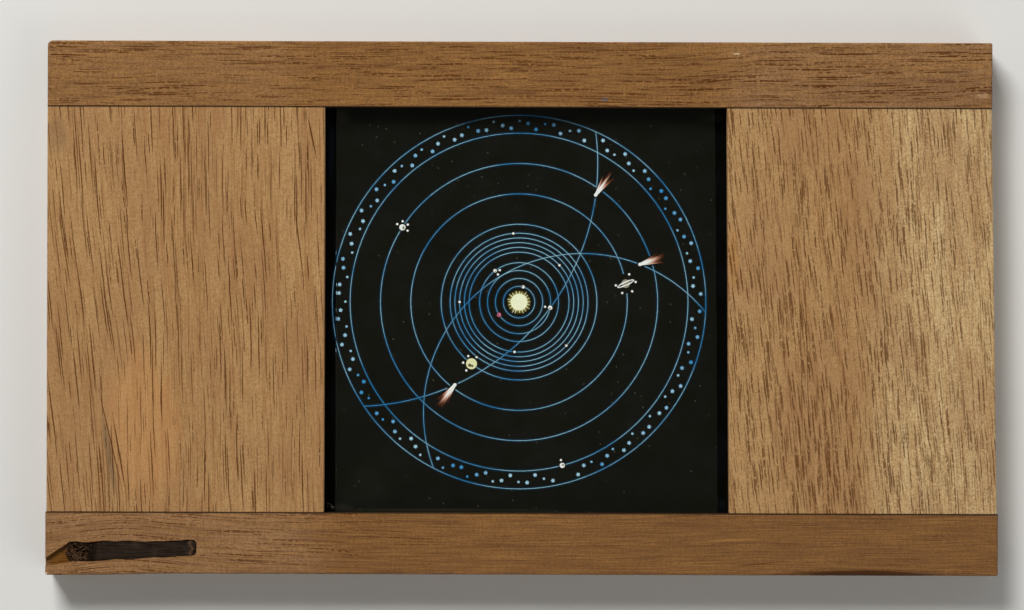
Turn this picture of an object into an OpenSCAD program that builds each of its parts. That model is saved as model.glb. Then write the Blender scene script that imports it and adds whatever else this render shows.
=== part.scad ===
// Magic lantern slide: a hardwood frame with a tinted picture glass and a cover glass in its grooves.
// The slide lies on its back. X runs along the rails, Y up the picture and Z out of its front.

/* [Frame] */
// Thickness of the frame, front to back
frame_t = 9.5; // [8.5:0.1:14]
// Length of the bottom rail
bottom_rail_l = 180; // [179.6:0.1:200]
// Depth of the bottom rail
bottom_rail_w = 11.9; // [9:0.1:18]
// Length of the top rail
top_rail_l = 178.5; // [178.5:0.1:180]
// Depth of the top rail
top_rail_w = 12.4; // [8:0.1:18]
// How far the bottom rail stands out past the left end board
rail_overhang = 0.2; // [0:0.1:2]
// Height of the end boards between the rails
board_h = 76.7; // [75:0.1:90]
// Width of the left end board
left_board_w = 52.4; // [40:0.1:60]
// Width of the right end board at the top
right_board_w = 50; // [40:0.1:60]
// How much wider the right end board is at the bottom
right_board_flare = 0.5; // [0:0.1:2]
// Chamfer where the outer edges of the frame are worn
ease = 0.35; // [0.1:0.05:0.8]
// Chamfer of the end boards' edges at the opening
opening_ease = 0.2; // [0.05:0.05:0.5]

/* [Opening and joints] */
// Width of the opening at the top
opening_w = 76; // [75:0.1:90]
// How much wider the opening is at the bottom
opening_flare = 0.6; // [0:0.1:2]
// How far the glasses and tongues reach into the grooves of the rails
rail_bite = 2.9; // [2:0.1:5]
// How far the picture glass reaches into the grooves of the end boards
side_bite = 3.25; // [2:0.05:5]
// Room left past the ends of glasses and tongues at the bottom of a groove
end_gap = 0.4; // [0.2:0.05:1]
// Room between a tongue and each cheek of its groove
tongue_gap = 0.05; // [0.02:0.01:0.2]

/* [Glasses] */
// Thickness of the picture glass
picture_glass_t = 1.6; // [1:0.1:2]
// Thickness of the cover glass
cover_glass_t = 1.3; // [1:0.1:2]
// Thickness of the paper spacers between the glasses
spacer_t = 0.3; // [0.2:0.05:0.5]
// How far the paper spacers stay back from the opening
spacer_inset = 0.4; // [0.1:0.1:1]
// Play of the glasses in the groove, front to back
glass_play = 0.15; // [0.05:0.05:0.5]
// How far the cover glass lies from the left end board
cover_inset = 2; // [1:0.1:3]
// Width of the cover glass at the top
cover_w = 71.9; // [60:0.1:72]
// How much wider the cover glass is at the bottom
cover_flare = 0.8; // [0:0.1:2]

/* [Knot] */
// Distance from the left end of the bottom rail to the knot
knot_start = 4.6; // [3:0.1:20]
// Length of the knot
knot_l = 24; // [15:0.1:40]
// Width of the knot at its root
knot_root_w = 3.8; // [3:0.1:5]
// Width of the knot near its round tip
knot_tip_w = 3; // [2:0.1:4]
// Height of the root's middle above the lower edge of the rail
knot_root_up = 4.2; // [3.5:0.1:5]
// Height of the tip's middle above the lower edge of the rail
knot_tip_up = 5; // [3.5:0.1:6]
// Depth of the hollow that the knot lies in
knot_hollow_d = 1.6; // [1:0.1:2.5]
// How far the face of the knot lies below the face of the rail
knot_sunk = 0.25; // [0.1:0.05:0.6]
// Gap round the knot
knot_gap = 0.12; // [0.05:0.01:0.3]
// Depth of the bare run-out between the knot and the end of the rail
run_out_d = 0.9; // [0.5:0.1:1.5]
// Height of the run-out at the end of the rail
run_out_h = 1.6; // [1:0.1:3]
// Height of the run-out's middle above the lower edge of the rail
run_out_up = 2.4; // [2:0.1:4]

/* [Picture] */
// Thickness of the black photographic layer
film_t = 0.06; // [0.04:0.01:0.1]
// Bare margin of glass round the photographic layer
film_margin = 0.5; // [0.2:0.1:1]
// Thickness of the tints
tint_t = 0.06; // [0.04:0.01:0.1]
// Distance from the middle of the opening to the middle of the picture, along the rails
picture_x = -1.2; // [-1.5:0.05:1.5]
// Distance from the middle of the opening to the middle of the picture, upwards
picture_y = 1.55; // [-2:0.05:2]
// Width of the blue lines
line_w = 0.3; // [0.2:0.05:0.5]
// Outer radius of the star band
band_r = 35.5; // [34:0.1:36]
// Width of the star band
band_w = 3.4; // [3:0.1:5]
// Radius of the first orbit round the sun
inner_orbit_r = 3; // [2.9:0.1:3.6]
// Distance between the inner orbits
inner_orbit_step = 1.5; // [1.4:0.1:1.6]
// Radius of the first circle of the belt of minor planets
belt_r = 9.5; // [9:0.1:10]
// Distance between the circles of the belt
belt_step = 0.9; // [0.8:0.05:1]
// Radius of the first of the outer orbits
outer_orbit_r = 14.8; // [14.5:0.1:18]
// Radius of a planet, which the sizes of all the planets are multiples of
planet_r = 0.4; // [0.3:0.02:0.44]
// Radius of the sun's disc
sun_r = 1.6; // [1.2:0.1:1.9]
// Radius to the tips of the sun's rays
sun_ray_r = 2.4; // [2.1:0.1:2.6]
// Number of rays
sun_rays = 20; // [12:1:28]
// Clear space left in the lines round each tinted body
body_gap = 0.1; // [0.05:0.05:0.3]
// Radius of a large star, tip to middle
star_r = 0.42; // [0.3:0.02:0.5]
// Number of places for stars round the band
star_places = 132; // [60:1:140]
// Length of a comet's tail
tail_l = 5.6; // [4:0.1:8]
// Width of a comet's tail at its end
tail_w = 2.2; // [1.4:0.1:3]
// Radius of a comet's head
comet_r = 0.42; // [0.3:0.02:0.6]

/* [Hidden] */

$fn = 96;
// How far a cutter runs past the face that it opens
over = 1;

rail_colour = "#93683f";
left_board_colour = "#b28a5b";
right_board_colour = "#ba9365";
knot_colour = "#33231b";
glass_colour = "#c8d6d2";
film_colour = "#0b0c0c";
line_colour = "#2f7fc4";
star_colour = "#4aa0e0";
sun_colour = "#f3e6a0";
planet_colour = "#ece3cc";
comet_colour = "#d9c4b4";
paper_colour = "#26241f";

// Outline of the frame, seen from the front
half_l = bottom_rail_l / 2;
frame_h = bottom_rail_w + board_h + top_rail_w;
low_y = bottom_rail_w - frame_h / 2;
high_y = low_y + board_h;
left_x = rail_overhang - half_l;
open_left = left_x + left_board_w;
open_right = open_left + opening_w;

// The glasses lie in one groove in the middle of the frame's thickness
stack_t = picture_glass_t + film_t + spacer_t + cover_glass_t;
groove_w = stack_t + glass_play;
groove_z = (frame_t - groove_w) / 2;
rail_groove_d = rail_bite + end_gap;
board_groove_d = side_bite + end_gap;
film_z = groove_z + picture_glass_t;
tint_z = film_z + film_t;
cover_z = tint_z + spacer_t;
cover_x = open_left + cover_inset;
pane_low_y = low_y - rail_bite;
pane_high_y = high_y + rail_bite;
pane_h = pane_high_y - pane_low_y;

// Orbits of the chart, all round the middle of the picture
band_inner_r = band_r - band_w;
inner_orbits = 4;
belt_circles = 5;
outer_orbits = 4;
outer_orbit_step = (band_inner_r - outer_orbit_r) / (outer_orbits - 1);
function inner_r(i) = inner_orbit_r + i * inner_orbit_step;
function belt_circle_r(i) = belt_r + i * belt_step;
function outer_r(i) = outer_orbit_r + i * outer_orbit_step;
ORBIT_RADII = concat(
    [for (i = [0:inner_orbits - 1]) inner_r(i)],
    [for (i = [0:belt_circles - 1]) belt_circle_r(i)],
    [for (i = [0:outer_orbits - 1]) outer_r(i)],
    [band_r]
);

// Each planet stands a fixed turn further round than the one before it, so no two line up
planet_turn = 137.5;
first_planet_angle = 75;
// Size of each planet's disc, from the sun outwards, and the moons that it has
PLANET_SIZES = [0.75, 1, 1.05, 0.85, 0.6, 0.6, 0.6, 0.6, 0.6, 2.6, 2, 1.5, 1.25];
PLANET_R = PLANET_SIZES * planet_r;
MOONS = [0, 0, 1, 2, 0, 0, 0, 0, 0, 4, 5, 4, 1];
moon_r = 0.22;
moon_gap = 0.55;
// The first moon stands on the sun's side, and none of them on the orbit's line
first_moon_turn = 180;
moon_spread = 60;
// One planet has a ring, a flat ellipse of this half length and half height, seen at a slant
ringed = 10;
ring_l = 1.75;
ring_h = 0.42;
ring_w = 0.24;
ring_tilt = 24;
ellipse_step = 15;
function planet_angle(i) = first_planet_angle + i * planet_turn;
function at(r, a) = [r * cos(a), r * sin(a)];
function planet_at(i) = at(ORBIT_RADII[i], planet_angle(i));
function moon_orbit(i) = PLANET_R[i] + moon_gap + (i == ringed ? moon_gap : 0);
function moon_at(i, m) =
    planet_at(i) + at(moon_orbit(i), planet_angle(i) + first_moon_turn + m * moon_spread);

// A comet's track is an arc with the sun inside its curve. It is given by the distance and the
// direction of its middle from the sun, and its radius. The long one leaves the chart at both
// ends, and each length in it is a multiple of the star band's radius.
TRACKS = [[1.15 * band_r, 140, 1.3 * band_r], [0.68 * band_r, 300, 0.85 * band_r]];
band_mid_r = (band_r + band_inner_r) / 2;
// Angle at which a track crosses a circle round the sun, on the side of the sign
function crossing(t, r, sign) =
    t[1] + sign * acos((r * r + t[0] * t[0] - t[2] * t[2]) / (2 * r * t[0]));
// Each comet: its track, its distance from the sun, and the side of the track that it is on
COMETS = [[0, 0.62 * band_inner_r, 1], [0, 0.78 * band_inner_r, -1], [1, 0.75 * band_inner_r, 1]];
function comet_angle(c) = crossing(TRACKS[c[0]], c[1], c[2]);
function comet_at(c) = at(c[1], comet_angle(c));

// A tail ends in this many streaks, with notches between them this share of its length from the head
tail_streaks = 5;
tail_notch = 0.45;
tail_short = 0.75;

// Stars swing in and out across the band as they go round it, and every third one is small
star_margin = 0.3;
star_swing = (band_w - line_w) / 2 - star_r - star_margin;
star_step_turn = 113;
star_points = 5;
star_waist = 0.45;
small_star_every = 3;
small_star = 0.6;
star_clear = 1.6;
function star_angle(k) = 360 * k / star_places;
function star_radius(k) = band_mid_r + star_swing * sin(k * star_step_turn);
function star_size(k) = star_r * (k % small_star_every == 0 ? small_star : 1);
// The angle between two directions
function between(a, b) = acos(cos(a - b));
function star_is_clear(k) = min(concat(
    [between(star_angle(k), planet_angle(len(PLANET_R) - 1))],
    [for (t = TRACKS, side = [-1, 1]) between(star_angle(k), crossing(t, star_radius(k), side))]
)) > star_clear;

// A rail with its inner edge along X and its outer edge worn. The inner edge was planed
// flush with the boards and stays sharp, and a groove runs along it from end to end.
module rail(l, w) {
    difference() {
        intersection() {
            rotate([90, 0, 90])
                linear_extrude(l)
                    polygon([[0, 0], [w - ease, 0], [w, ease], [w, frame_t - ease],
                             [w - ease, frame_t], [0, frame_t]]);
            translate([0, w, 0])
                rotate([90, 0, 0])
                    linear_extrude(w)
                        polygon([[ease, 0], [l - ease, 0], [l, ease], [l, frame_t - ease],
                                 [l - ease, frame_t], [ease, frame_t], [0, frame_t - ease], [0, ease]]);
            linear_extrude(frame_t)
                polygon([[0, 0], [l, 0], [l, w - ease], [l - ease, w], [ease, w], [0, w - ease]]);
        }
        translate([-over, -over, groove_z])
            cube([l + 2 * over, over + rail_groove_d, groove_w]);
    }
}

module top_rail() {
    color(rail_colour)
        translate([left_x, high_y, 0])
            rail(top_rail_l, top_rail_w);
}

module bottom_rail() {
    color(rail_colour)
        difference() {
            translate([-half_l, low_y, 0])
                mirror([0, 1, 0])
                    rail(bottom_rail_l, bottom_rail_w);
            knot_hollow();
        }
}

// Outline of the knot in its rail, drawn in on all sides by the gap
module knot_outline(gap) {
    tip = knot_tip_w / 2 - gap;
    root = knot_root_w / 2 - gap;
    tip_x = knot_start + knot_l - knot_tip_w / 2;
    translate([-half_l, low_y - bottom_rail_w]) {
        polygon([[knot_start + gap, knot_root_up - root], [tip_x, knot_tip_up - tip],
                 [tip_x, knot_tip_up + tip], [knot_start + gap, knot_root_up + root]]);
        translate([tip_x, knot_tip_up])
            circle(r = tip);
    }
}

// The hollow for the knot, and the shallower run-out from it to the end of the rail
module knot_hollow() {
    translate([0, 0, frame_t - knot_hollow_d])
        linear_extrude(knot_hollow_d + over)
            knot_outline(0);
    root = knot_root_w / 2;
    end = run_out_h / 2;
    translate([-half_l, low_y - bottom_rail_w, frame_t - run_out_d])
        linear_extrude(run_out_d + over)
            polygon([[-over, run_out_up - end], [knot_start, knot_root_up - root],
                     [knot_start + over, knot_root_up],
                     [knot_start, knot_root_up + root], [-over, run_out_up + end]]);
}

module spike_knot() {
    color(knot_colour)
        translate([0, 0, frame_t - knot_hollow_d])
            linear_extrude(knot_hollow_d - knot_sunk)
                knot_outline(knot_gap);
}

// An end board between its outer edge and the opening. An edge is given by its x at the bottom
// and at the top. side is 1 where the opening lies to the right of the board and -1 to the left.
module end_board(outer, inner, side) {
    difference() {
        intersection() {
            board_section(min(outer[0], inner[0]) - over, max(outer[0], inner[0]) + over);
            beside_edge(outer, side, ease);
            beside_edge(inner, -side, opening_ease);
        }
        board_groove(inner, side);
    }
}

// The section of a board with its tongues, from one x to another
module board_section(from_x, to_x) {
    low_z = groove_z + tongue_gap;
    high_z = groove_z + groove_w - tongue_gap;
    translate([from_x, 0, 0])
        rotate([90, 0, 90])
            linear_extrude(to_x - from_x)
                polygon([[low_y, 0], [high_y, 0],
                         [high_y, low_z], [pane_high_y, low_z], [pane_high_y, high_z], [high_y, high_z],
                         [high_y, frame_t], [low_y, frame_t],
                         [low_y, high_z], [pane_low_y, high_z], [pane_low_y, low_z], [low_y, low_z]]);
}

// Everything on one side of an upright edge, with the edge itself worn by a chamfer
module beside_edge(edge, side, worn) {
    reach = frame_h;
    translate([edge[0], low_y, 0])
        rotate([0, 0, atan2(edge[0] - edge[1], board_h)])
            translate([0, reach, 0])
                rotate([90, 0, 0])
                    linear_extrude(2 * reach)
                        polygon([[side * worn, 0], [side * reach, 0], [side * reach, frame_t],
                                 [side * worn, frame_t], [0, frame_t - worn], [0, worn]]);
}

// The groove that takes the side of the picture glass. It runs out through both tongues.
module board_groove(edge, side) {
    translate([edge[0], low_y, groove_z])
        rotate([0, 0, atan2(edge[0] - edge[1], board_h)])
            translate([side > 0 ? -board_groove_d : -over, -frame_h, 0])
                cube([board_groove_d + over, 2 * frame_h, groove_w]);
}

module left_end_board() {
    color(left_board_colour)
        end_board([left_x, left_x], [open_left, open_left], 1);
}

module right_end_board() {
    inner = [open_right + opening_flare, open_right];
    color(right_board_colour)
        end_board([inner[0] + right_board_w + right_board_flare, inner[1] + right_board_w], inner, -1);
}

module picture_glass() {
    color(glass_colour)
        translate([open_left - side_bite, pane_low_y, groove_z])
            cube([opening_w + 2 * side_bite, pane_h, picture_glass_t]);
}

module picture_film() {
    color(film_colour)
        translate([open_left - side_bite + film_margin, pane_low_y + film_margin, film_z])
            cube([opening_w + 2 * (side_bite - film_margin), pane_h - 2 * film_margin, film_t]);
}

module cover_glass() {
    color(glass_colour)
        translate([cover_x, pane_low_y, cover_z])
            linear_extrude(cover_glass_t)
                polygon([[0, 0], [cover_w + cover_flare, 0], [cover_w, pane_h], [0, pane_h]]);
}

// A paper strip under one edge of the cover glass, out of sight in the groove of the rail
module spacer(y) {
    translate([cover_x + spacer_inset, y, tint_z])
        cube([cover_w - 2 * spacer_inset, rail_bite - spacer_inset - film_margin, spacer_t]);
}

module top_spacer() {
    color(paper_colour)
        spacer(high_y + spacer_inset);
}

module bottom_spacer() {
    color(paper_colour)
        spacer(pane_low_y + film_margin);
}

// Everything in the tint's layer stands on the film, round the middle of the picture
module tint(colour) {
    color(colour)
        translate([open_left + opening_w / 2 + picture_x, low_y + board_h / 2 + picture_y, tint_z])
            linear_extrude(tint_t)
                children();
}

module ring(r) {
    difference() {
        circle(r = r + line_w / 2);
        circle(r = r - line_w / 2);
    }
}

// A polygon of n points and n notches
module star(n, tip, waist, turn) {
    polygon([for (k = [0:2 * n - 1]) at(k % 2 == 0 ? tip : waist, turn + k * 180 / n)]);
}

module orbit_tints() {
    tint(line_colour)
        difference() {
            union() {
                for (r = ORBIT_RADII)
                    ring(r);
                for (t = TRACKS)
                    intersection() {
                        translate(at(t[0], t[1]))
                            ring(t[2]);
                        circle(r = band_r);
                    }
            }
            circle(r = sun_ray_r + body_gap);
            for (i = [0:len(PLANET_R) - 1]) {
                translate(planet_at(i))
                    circle(r = (i == ringed ? ring_l : PLANET_R[i]) + body_gap);
                if (MOONS[i] > 0)
                    for (m = [0:MOONS[i] - 1])
                        translate(moon_at(i, m))
                            circle(r = moon_r + body_gap);
            }
            for (c = COMETS)
                translate(comet_at(c))
                    rotate(comet_angle(c))
                        comet_outline();
        }
}

module star_tints() {
    tint(star_colour)
        for (k = [0:star_places - 1])
            if (star_is_clear(k))
                translate(at(star_radius(k), star_angle(k)))
                    star(star_points, star_size(k), star_size(k) * star_waist, star_angle(k));
}

module sun_tint() {
    tint(sun_colour)
        star(sun_rays, sun_ray_r, sun_r, 0);
}

module planet_tints() {
    tint(planet_colour)
        for (i = [0:len(PLANET_R) - 1]) {
            translate(planet_at(i)) {
                circle(r = PLANET_R[i]);
                if (i == ringed)
                    planet_ring();
            }
            if (MOONS[i] > 0)
                for (m = [0:MOONS[i] - 1])
                    translate(moon_at(i, m))
                        circle(r = moon_r);
        }
}

module planet_ring() {
    rotate(ring_tilt)
        difference() {
            ellipse(ring_l, ring_h);
            ellipse(ring_l - ring_w, ring_h - ring_w);
        }
}

module ellipse(a, b) {
    polygon([for (k = [0:ellipse_step:360 - ellipse_step]) [a * cos(k), b * sin(k)]]);
}

// The clear space round a comet, with its head at the origin and its tail along X
module comet_outline() {
    circle(r = comet_r + body_gap);
    polygon([[0, -comet_r - body_gap], [tail_l + body_gap, -tail_w / 2 - body_gap],
             [tail_l + body_gap, tail_w / 2 + body_gap], [0, comet_r + body_gap]]);
}

// The end of a tail from one side to the other, where every second point is the tip of a streak
// and the streaks are longest in the middle
function tail_end(k) =
    let (across = k / (tail_streaks - 1) - 1)
    k % 2 == 0
        ? [tail_l * (1 - (1 - tail_short) * abs(across)), across * tail_w / 2]
        : [tail_l * tail_notch, across * (comet_r + (tail_w / 2 - comet_r) * tail_notch)];

module comet() {
    circle(r = comet_r);
    polygon(concat([[0, -comet_r]], [for (k = [0:2 * tail_streaks - 2]) tail_end(k)], [[0, comet_r]]));
}

module comet_tints() {
    tint(comet_colour)
        for (c = COMETS)
            translate(comet_at(c))
                rotate(comet_angle(c))
                    comet();
}

top_rail();
bottom_rail();
left_end_board();
right_end_board();
spike_knot();
picture_glass();
picture_film();
orbit_tints();
star_tints();
sun_tint();
planet_tints();
comet_tints();
top_spacer();
bottom_spacer();
cover_glass();
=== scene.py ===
"""Magic lantern slide: a hardwood frame that holds a tinted chart of the solar system under glass.

The slide lies on its back. X runs along the rails, Y up the picture and Z out of its front. Lengths are in
metres, as everywhere in Blender, and MM turns millimetres into them. Materials count in millimetres.
"""

import math
import random

import bmesh
import bpy
from bpy.props import FloatProperty, FloatVectorProperty, IntProperty, PointerProperty
from mathutils import Matrix, Vector, noise


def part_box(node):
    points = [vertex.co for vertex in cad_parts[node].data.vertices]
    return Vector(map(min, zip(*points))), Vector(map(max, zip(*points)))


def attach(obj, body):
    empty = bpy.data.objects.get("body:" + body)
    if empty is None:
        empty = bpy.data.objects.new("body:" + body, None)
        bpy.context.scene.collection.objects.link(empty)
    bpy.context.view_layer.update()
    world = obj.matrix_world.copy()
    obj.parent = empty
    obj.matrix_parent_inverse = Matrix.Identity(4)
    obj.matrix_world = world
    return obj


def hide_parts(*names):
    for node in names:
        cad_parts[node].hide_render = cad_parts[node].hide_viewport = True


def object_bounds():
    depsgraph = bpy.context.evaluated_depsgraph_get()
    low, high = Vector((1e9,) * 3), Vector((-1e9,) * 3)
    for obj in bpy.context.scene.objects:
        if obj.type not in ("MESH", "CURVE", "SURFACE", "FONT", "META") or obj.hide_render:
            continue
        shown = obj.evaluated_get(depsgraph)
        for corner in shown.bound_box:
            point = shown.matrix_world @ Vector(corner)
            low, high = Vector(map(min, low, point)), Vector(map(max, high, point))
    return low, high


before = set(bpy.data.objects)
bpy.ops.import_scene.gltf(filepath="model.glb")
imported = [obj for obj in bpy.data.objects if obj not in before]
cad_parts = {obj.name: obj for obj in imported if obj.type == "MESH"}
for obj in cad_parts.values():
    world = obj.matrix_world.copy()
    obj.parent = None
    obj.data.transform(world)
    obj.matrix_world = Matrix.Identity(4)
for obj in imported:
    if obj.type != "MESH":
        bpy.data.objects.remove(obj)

bl_info = {
    "name": "Magic Lantern Slide",
    "version": (1, 0, 0),
    "blender": (4, 5, 0),
    "location": "View3D > Sidebar > Slide",
    "description": "Builds a wooden-framed magic lantern slide round its packed frame",
    "category": "Add Mesh",
}

MM = 0.001
TINY = 1e-7
CAD_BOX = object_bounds()
# Heights of the front of the frame, of the cover glass and of the film above the floor, in millimetres.
FRONT, COVER_FRONT, FILM_FRONT = 9.5, 6.3, 4.7
# Takes a side of a block so far behind a joint that the wood isn't worn there.
BEHIND_JOINT = Vector((0, 0.05, 0))


def linear(hex_colour):
    """An sRGB colour such as #B28A5B as linear red, green, blue and alpha."""
    channels = [int(hex_colour[i:i + 2], 16) / 255 for i in (1, 3, 5)]
    return [c / 12.92 if c <= 0.04045 else ((c + 0.055) / 1.055) ** 2.4 for c in channels] + [1.0]


def length(name, description, millimetres):
    """A length that a user may change, given in millimetres."""
    return FloatProperty(name=name, description=description, default=millimetres * MM, unit="LENGTH")


def colour(name, description, hex_colour):
    """A colour that a user may change."""
    return FloatVectorProperty(
        name=name, description=description, default=linear(hex_colour), size=4, min=0, max=1, subtype="COLOR"
    )


class FrameSizes(bpy.types.PropertyGroup):
    """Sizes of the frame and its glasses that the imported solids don't give by themselves."""

    wear: length("Edge wear", "Radius of the worn outer edges of the frame", 0.35)
    dents: length("Dents", "How deep the dents in the outer edges are", 0.1)
    corner_wear: length("Corner wear", "Radius of the knocked corner at the top left", 0.9)
    opening_wear: length("Opening wear", "Radius of the end boards' edges at the opening", 0.2)
    joint_wear: length("Joint wear", "Chamfer of the edges that meet at a joint", 0.08)
    groove_play: length("Groove play", "Room for the glasses in their groove", 0.15)
    tongue_gap: length("Tongue gap", "Room between a tongue and its groove", 0.05)
    board_height: length("Board height", "Height of the end boards between the rails", 76.7)
    board_groove: length("Board groove", "Depth of the grooves in the end boards", 3.65)
    rail_groove: length("Rail groove", "Depth of the grooves in the rails", 3.3)
    opening_flare: length("Opening flare", "How much wider the opening is at the bottom", 0.6)
    board_flare: length("Board flare", "How much wider the right end board is at the bottom", 0.5)
    edge_hollow: length("Edge hollow", "How far the lower edge is planed hollow", 0.3)
    cover_flare: length("Cover flare", "How much wider the cover glass is at the bottom", 0.8)
    glass_ease: length("Glass ease", "Ground edge of the glasses", 0.12)
    glass_wave: length("Glass wave", "How ragged the cut edges of the cover glass are", 0.25)
    film_gap: length("Film gap", "Air between the picture glass and the back of the film", 0.02)


class KnotSizes(bpy.types.PropertyGroup):
    """Sizes of the knot and of the hollow that it lies in."""

    start: length("Start", "Distance from the end of the rail to the hollow", 4.6)
    long: length("Length", "Length of the hollow", 24.0)
    root: length("Root", "Width of the hollow at the knot's root", 3.8)
    tip: length("Tip", "Width of the hollow near its tip", 3.0)
    root_up: length("Root height", "Height of the root above the rail's lower edge", 4.35)
    tip_up: length("Tip height", "Height of the tip above the rail's lower edge", 5.15)
    depth: length("Depth", "Depth of the hollow", 1.6)
    sunk: length("Sunk", "How far the knot lies below the rail's face", 0.12)
    gap: length("Gap", "Gap between the knot and the hollow", 0.04)
    ragged: length("Ragged edge", "How far the edges of the hollow wander", 0.2)
    fibres: length("Root fibres", "How far torn fibres reach out of the hollow", 0.9)
    torn: length("Torn root", "Length of the torn part of the knot, inside the hollow", 5.5)
    banded: length("Banded tip", "Length of the cross-banded tip", 3.2)
    run_out: length("Run-out", "Depth of the bare run-out to the end of the rail", 0.9)
    run_out_width: length("Run-out width", "Width of the run-out at the end of the rail", 1.6)
    run_out_up: length("Run-out height", "Height of the run-out above the rail's lower edge", 2.4)


class ChartSizes(bpy.types.PropertyGroup):
    """Sizes of the chart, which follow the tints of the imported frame."""

    line: length("Line", "Width of a blue line with its soft edges", 0.84)
    band: length("Star band", "Outer radius of the star band", 35.5)
    band_width: length("Band width", "Width of the star band", 3.4)
    inner_orbit: length("Inner orbit", "Radius of the first orbit", 3.0)
    inner_step: length("Inner step", "Distance between the inner orbits", 1.5)
    belt: length("Belt", "Radius of the first circle of the belt", 9.5)
    belt_step: length("Belt step", "Distance between the circles of the belt", 0.9)
    outer_orbit: length("Outer orbit", "Radius of the first of the outer orbits", 14.8)
    sun: length("Sun", "Radius of the sun's disc", 1.6)
    sun_ray: length("Sun rays", "Radius to the tips of the sun's rays", 2.4)
    sun_rays: IntProperty(name="Rays", description="Number of rays round the sun", default=20, min=12)
    planet: length("Planet", "Radius that the sizes of the planets are multiples of", 0.4)
    moon: length("Moon", "Radius of a moon", 0.22)
    moon_gap: length("Moon gap", "Room between a planet and its moons", 0.55)
    ring: length("Ring", "Half length of the ring round a planet", 1.75)
    ring_rise: length("Ring rise", "Half height of the ring", 0.42)
    ring_width: length("Ring width", "Width of the ring", 0.24)
    body_gap: length("Body gap", "Clear space in the lines round each body", 0.1)
    star: length("Star", "Radius of a large star", 0.42)
    stars: IntProperty(name="Stars", description="Number of places for stars", default=132, min=10)
    tail: length("Tail", "Length of a comet's tail", 5.6)
    tail_width: length("Tail width", "Width of a comet's tail at its end", 2.2)
    comet: length("Comet", "Radius of a comet's head", 0.42)


class WoodColours(bpy.types.PropertyGroup):
    """Colours of the wood. Those of the rails are lifted evenly by a little painted sheen."""

    board: colour("Board", "Sound wood of the end boards", "#A27A4E")
    board_pale: colour("Board, pale", "Pale fibres of the end boards", "#B89464")
    board_dark: colour("Board, dark", "Darker fibres of the end boards", "#875F3A")
    board_rose: colour("Board, rose", "Pinkish patches of the end boards", "#99704C")
    sapwood: colour("Sapwood", "Pale wood along the right edge", "#D8BE8C")
    # The rail colours each carry a little painted sheen: an even pale lift that stands for the lamp's
    # reflection on the wax.
    rail: colour("Rail", "Sound wood of the rails", "#825A33")
    rail_pale: colour("Rail, pale", "Golden fibres of the rails", "#9F733F")
    rail_dark: colour("Rail, dark", "Darker fibres of the rails", "#5D3E26")
    rail_grey: colour("Rail, ends", "Greyer wood at the ends of the rails", "#9D7753")
    pore: colour("Pores", "Open pores of the wood", "#502803")
    grime: colour("Grime", "Dirt in the joints", "#1E130B")
    scuff: colour("Scuff", "Bare fibres where an edge is rubbed", "#C9AA84")
    knot: colour("Knot", "Dark branch wood of the knot", "#2B211A")
    knot_dark: colour("Knot, dark", "Hollows between the ridges of the knot", "#1A120C")
    knot_fibre: colour("Knot fibres", "Torn fibres at the root and the tip of the knot", "#6E523A")


class ChartColours(bpy.types.PropertyGroup):
    """Colours of the chart and its black ground."""

    film: colour("Film", "Black photographic layer", "#060604")
    # Painted glow: the navy soft edge of a line or star stands for light scattered in the gelatine.
    blue_glow: colour("Blue halo", "Soft edge of a blue line or star", "#053049")
    blue: colour("Blue", "Middle of a blue line where the dye is thick", "#3A98D6")
    blue_pale: colour("Pale blue", "Middle of a blue line where the dye is thin", "#ACDAE8")
    star_blue: colour("Star blue", "Middle of a star where the dye is thin", "#B6DEF2")
    sun: colour("Sun", "Disc of the sun", "#FFFEDE")
    sun_deep: colour("Sun, deep", "Disc of the sun where the dye is thick", "#FFFACC")
    sun_glow: colour("Sun's glow", "Yellow wash between the rays", "#857618")
    white: colour("White", "Small planets, moons and the heads of comets", "#FEFCF8")
    rose: colour("Rose", "The rose planet", "#DC6C8E")
    straw: colour("Straw", "The largest planet", "#F6F0BC")
    beige: colour("Beige", "Globe of the ringed planet", "#A89C8A")
    shade: colour("Shade", "Small dark strokes on the planets", "#6A6540")
    tail_rose: colour("Tail, rose", "Middle of a comet's tail", "#D89A80")
    tail_end: colour("Tail, end", "Reddish end of a comet's tail", "#6E3418")
    paper: colour("Paper", "Black paper of the spacers", "#26241F")
    dust: colour("Dust", "Crumbs of old putty", "#857B72")
    veil: colour("Veil", "Thin veil of dust on the glasses", "#B4B08E")


def add(tree, kind, inputs=(), output=None, **settings):
    """Adds a node with its settings, and returns it or one of its outputs.

    inputs holds a value, or an output to link, for each input by its name or number.
    """
    node = tree.nodes.new("ShaderNode" + kind)
    for name, value in settings.items():
        setattr(node, name, value)
    for key, value in dict(inputs).items():
        if isinstance(value, bpy.types.NodeSocket):
            tree.links.new(value, node.inputs[key])
        else:
            node.inputs[key].default_value = value
    return node if output is None else node.outputs[output]


def new_material(name, roughness, specular=0.5):
    """A new material, with its node tree and the shader that its surface shows.

    Wax, gelatine, paint and glass all have an IOR of about 1.5.
    """
    material = bpy.data.materials.new(name)
    material.use_nodes = True
    tree = material.node_tree
    tree.nodes.clear()
    shader = add(tree, "BsdfPrincipled",
                 {"Roughness": roughness, "IOR": 1.5, "Specular IOR Level": specular})
    add(tree, "OutputMaterial", {"Surface": shader.outputs["BSDF"]})
    return material, tree, shader


def in_millimetres(tree):
    """The place of a point of the object, in millimetres."""
    here = add(tree, "TexCoord", output="Object")
    return add(tree, "VectorMath", {0: here, "Scale": 1 / MM}, 0, operation="SCALE")


def cloud(tree, place, across, along=None, detail=2.0):
    """Noise whose grains have a real size, in millimetres. They may be longer along Y than across it."""
    stretch = (1 / across, 1 / (along or across), 1 / across)
    stretched = add(tree, "VectorMath", {0: place, 1: stretch}, 0, operation="MULTIPLY")
    return add(tree, "TexNoise", {"Vector": stretched, "Scale": 1.0, "Detail": detail}, "Fac")


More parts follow.
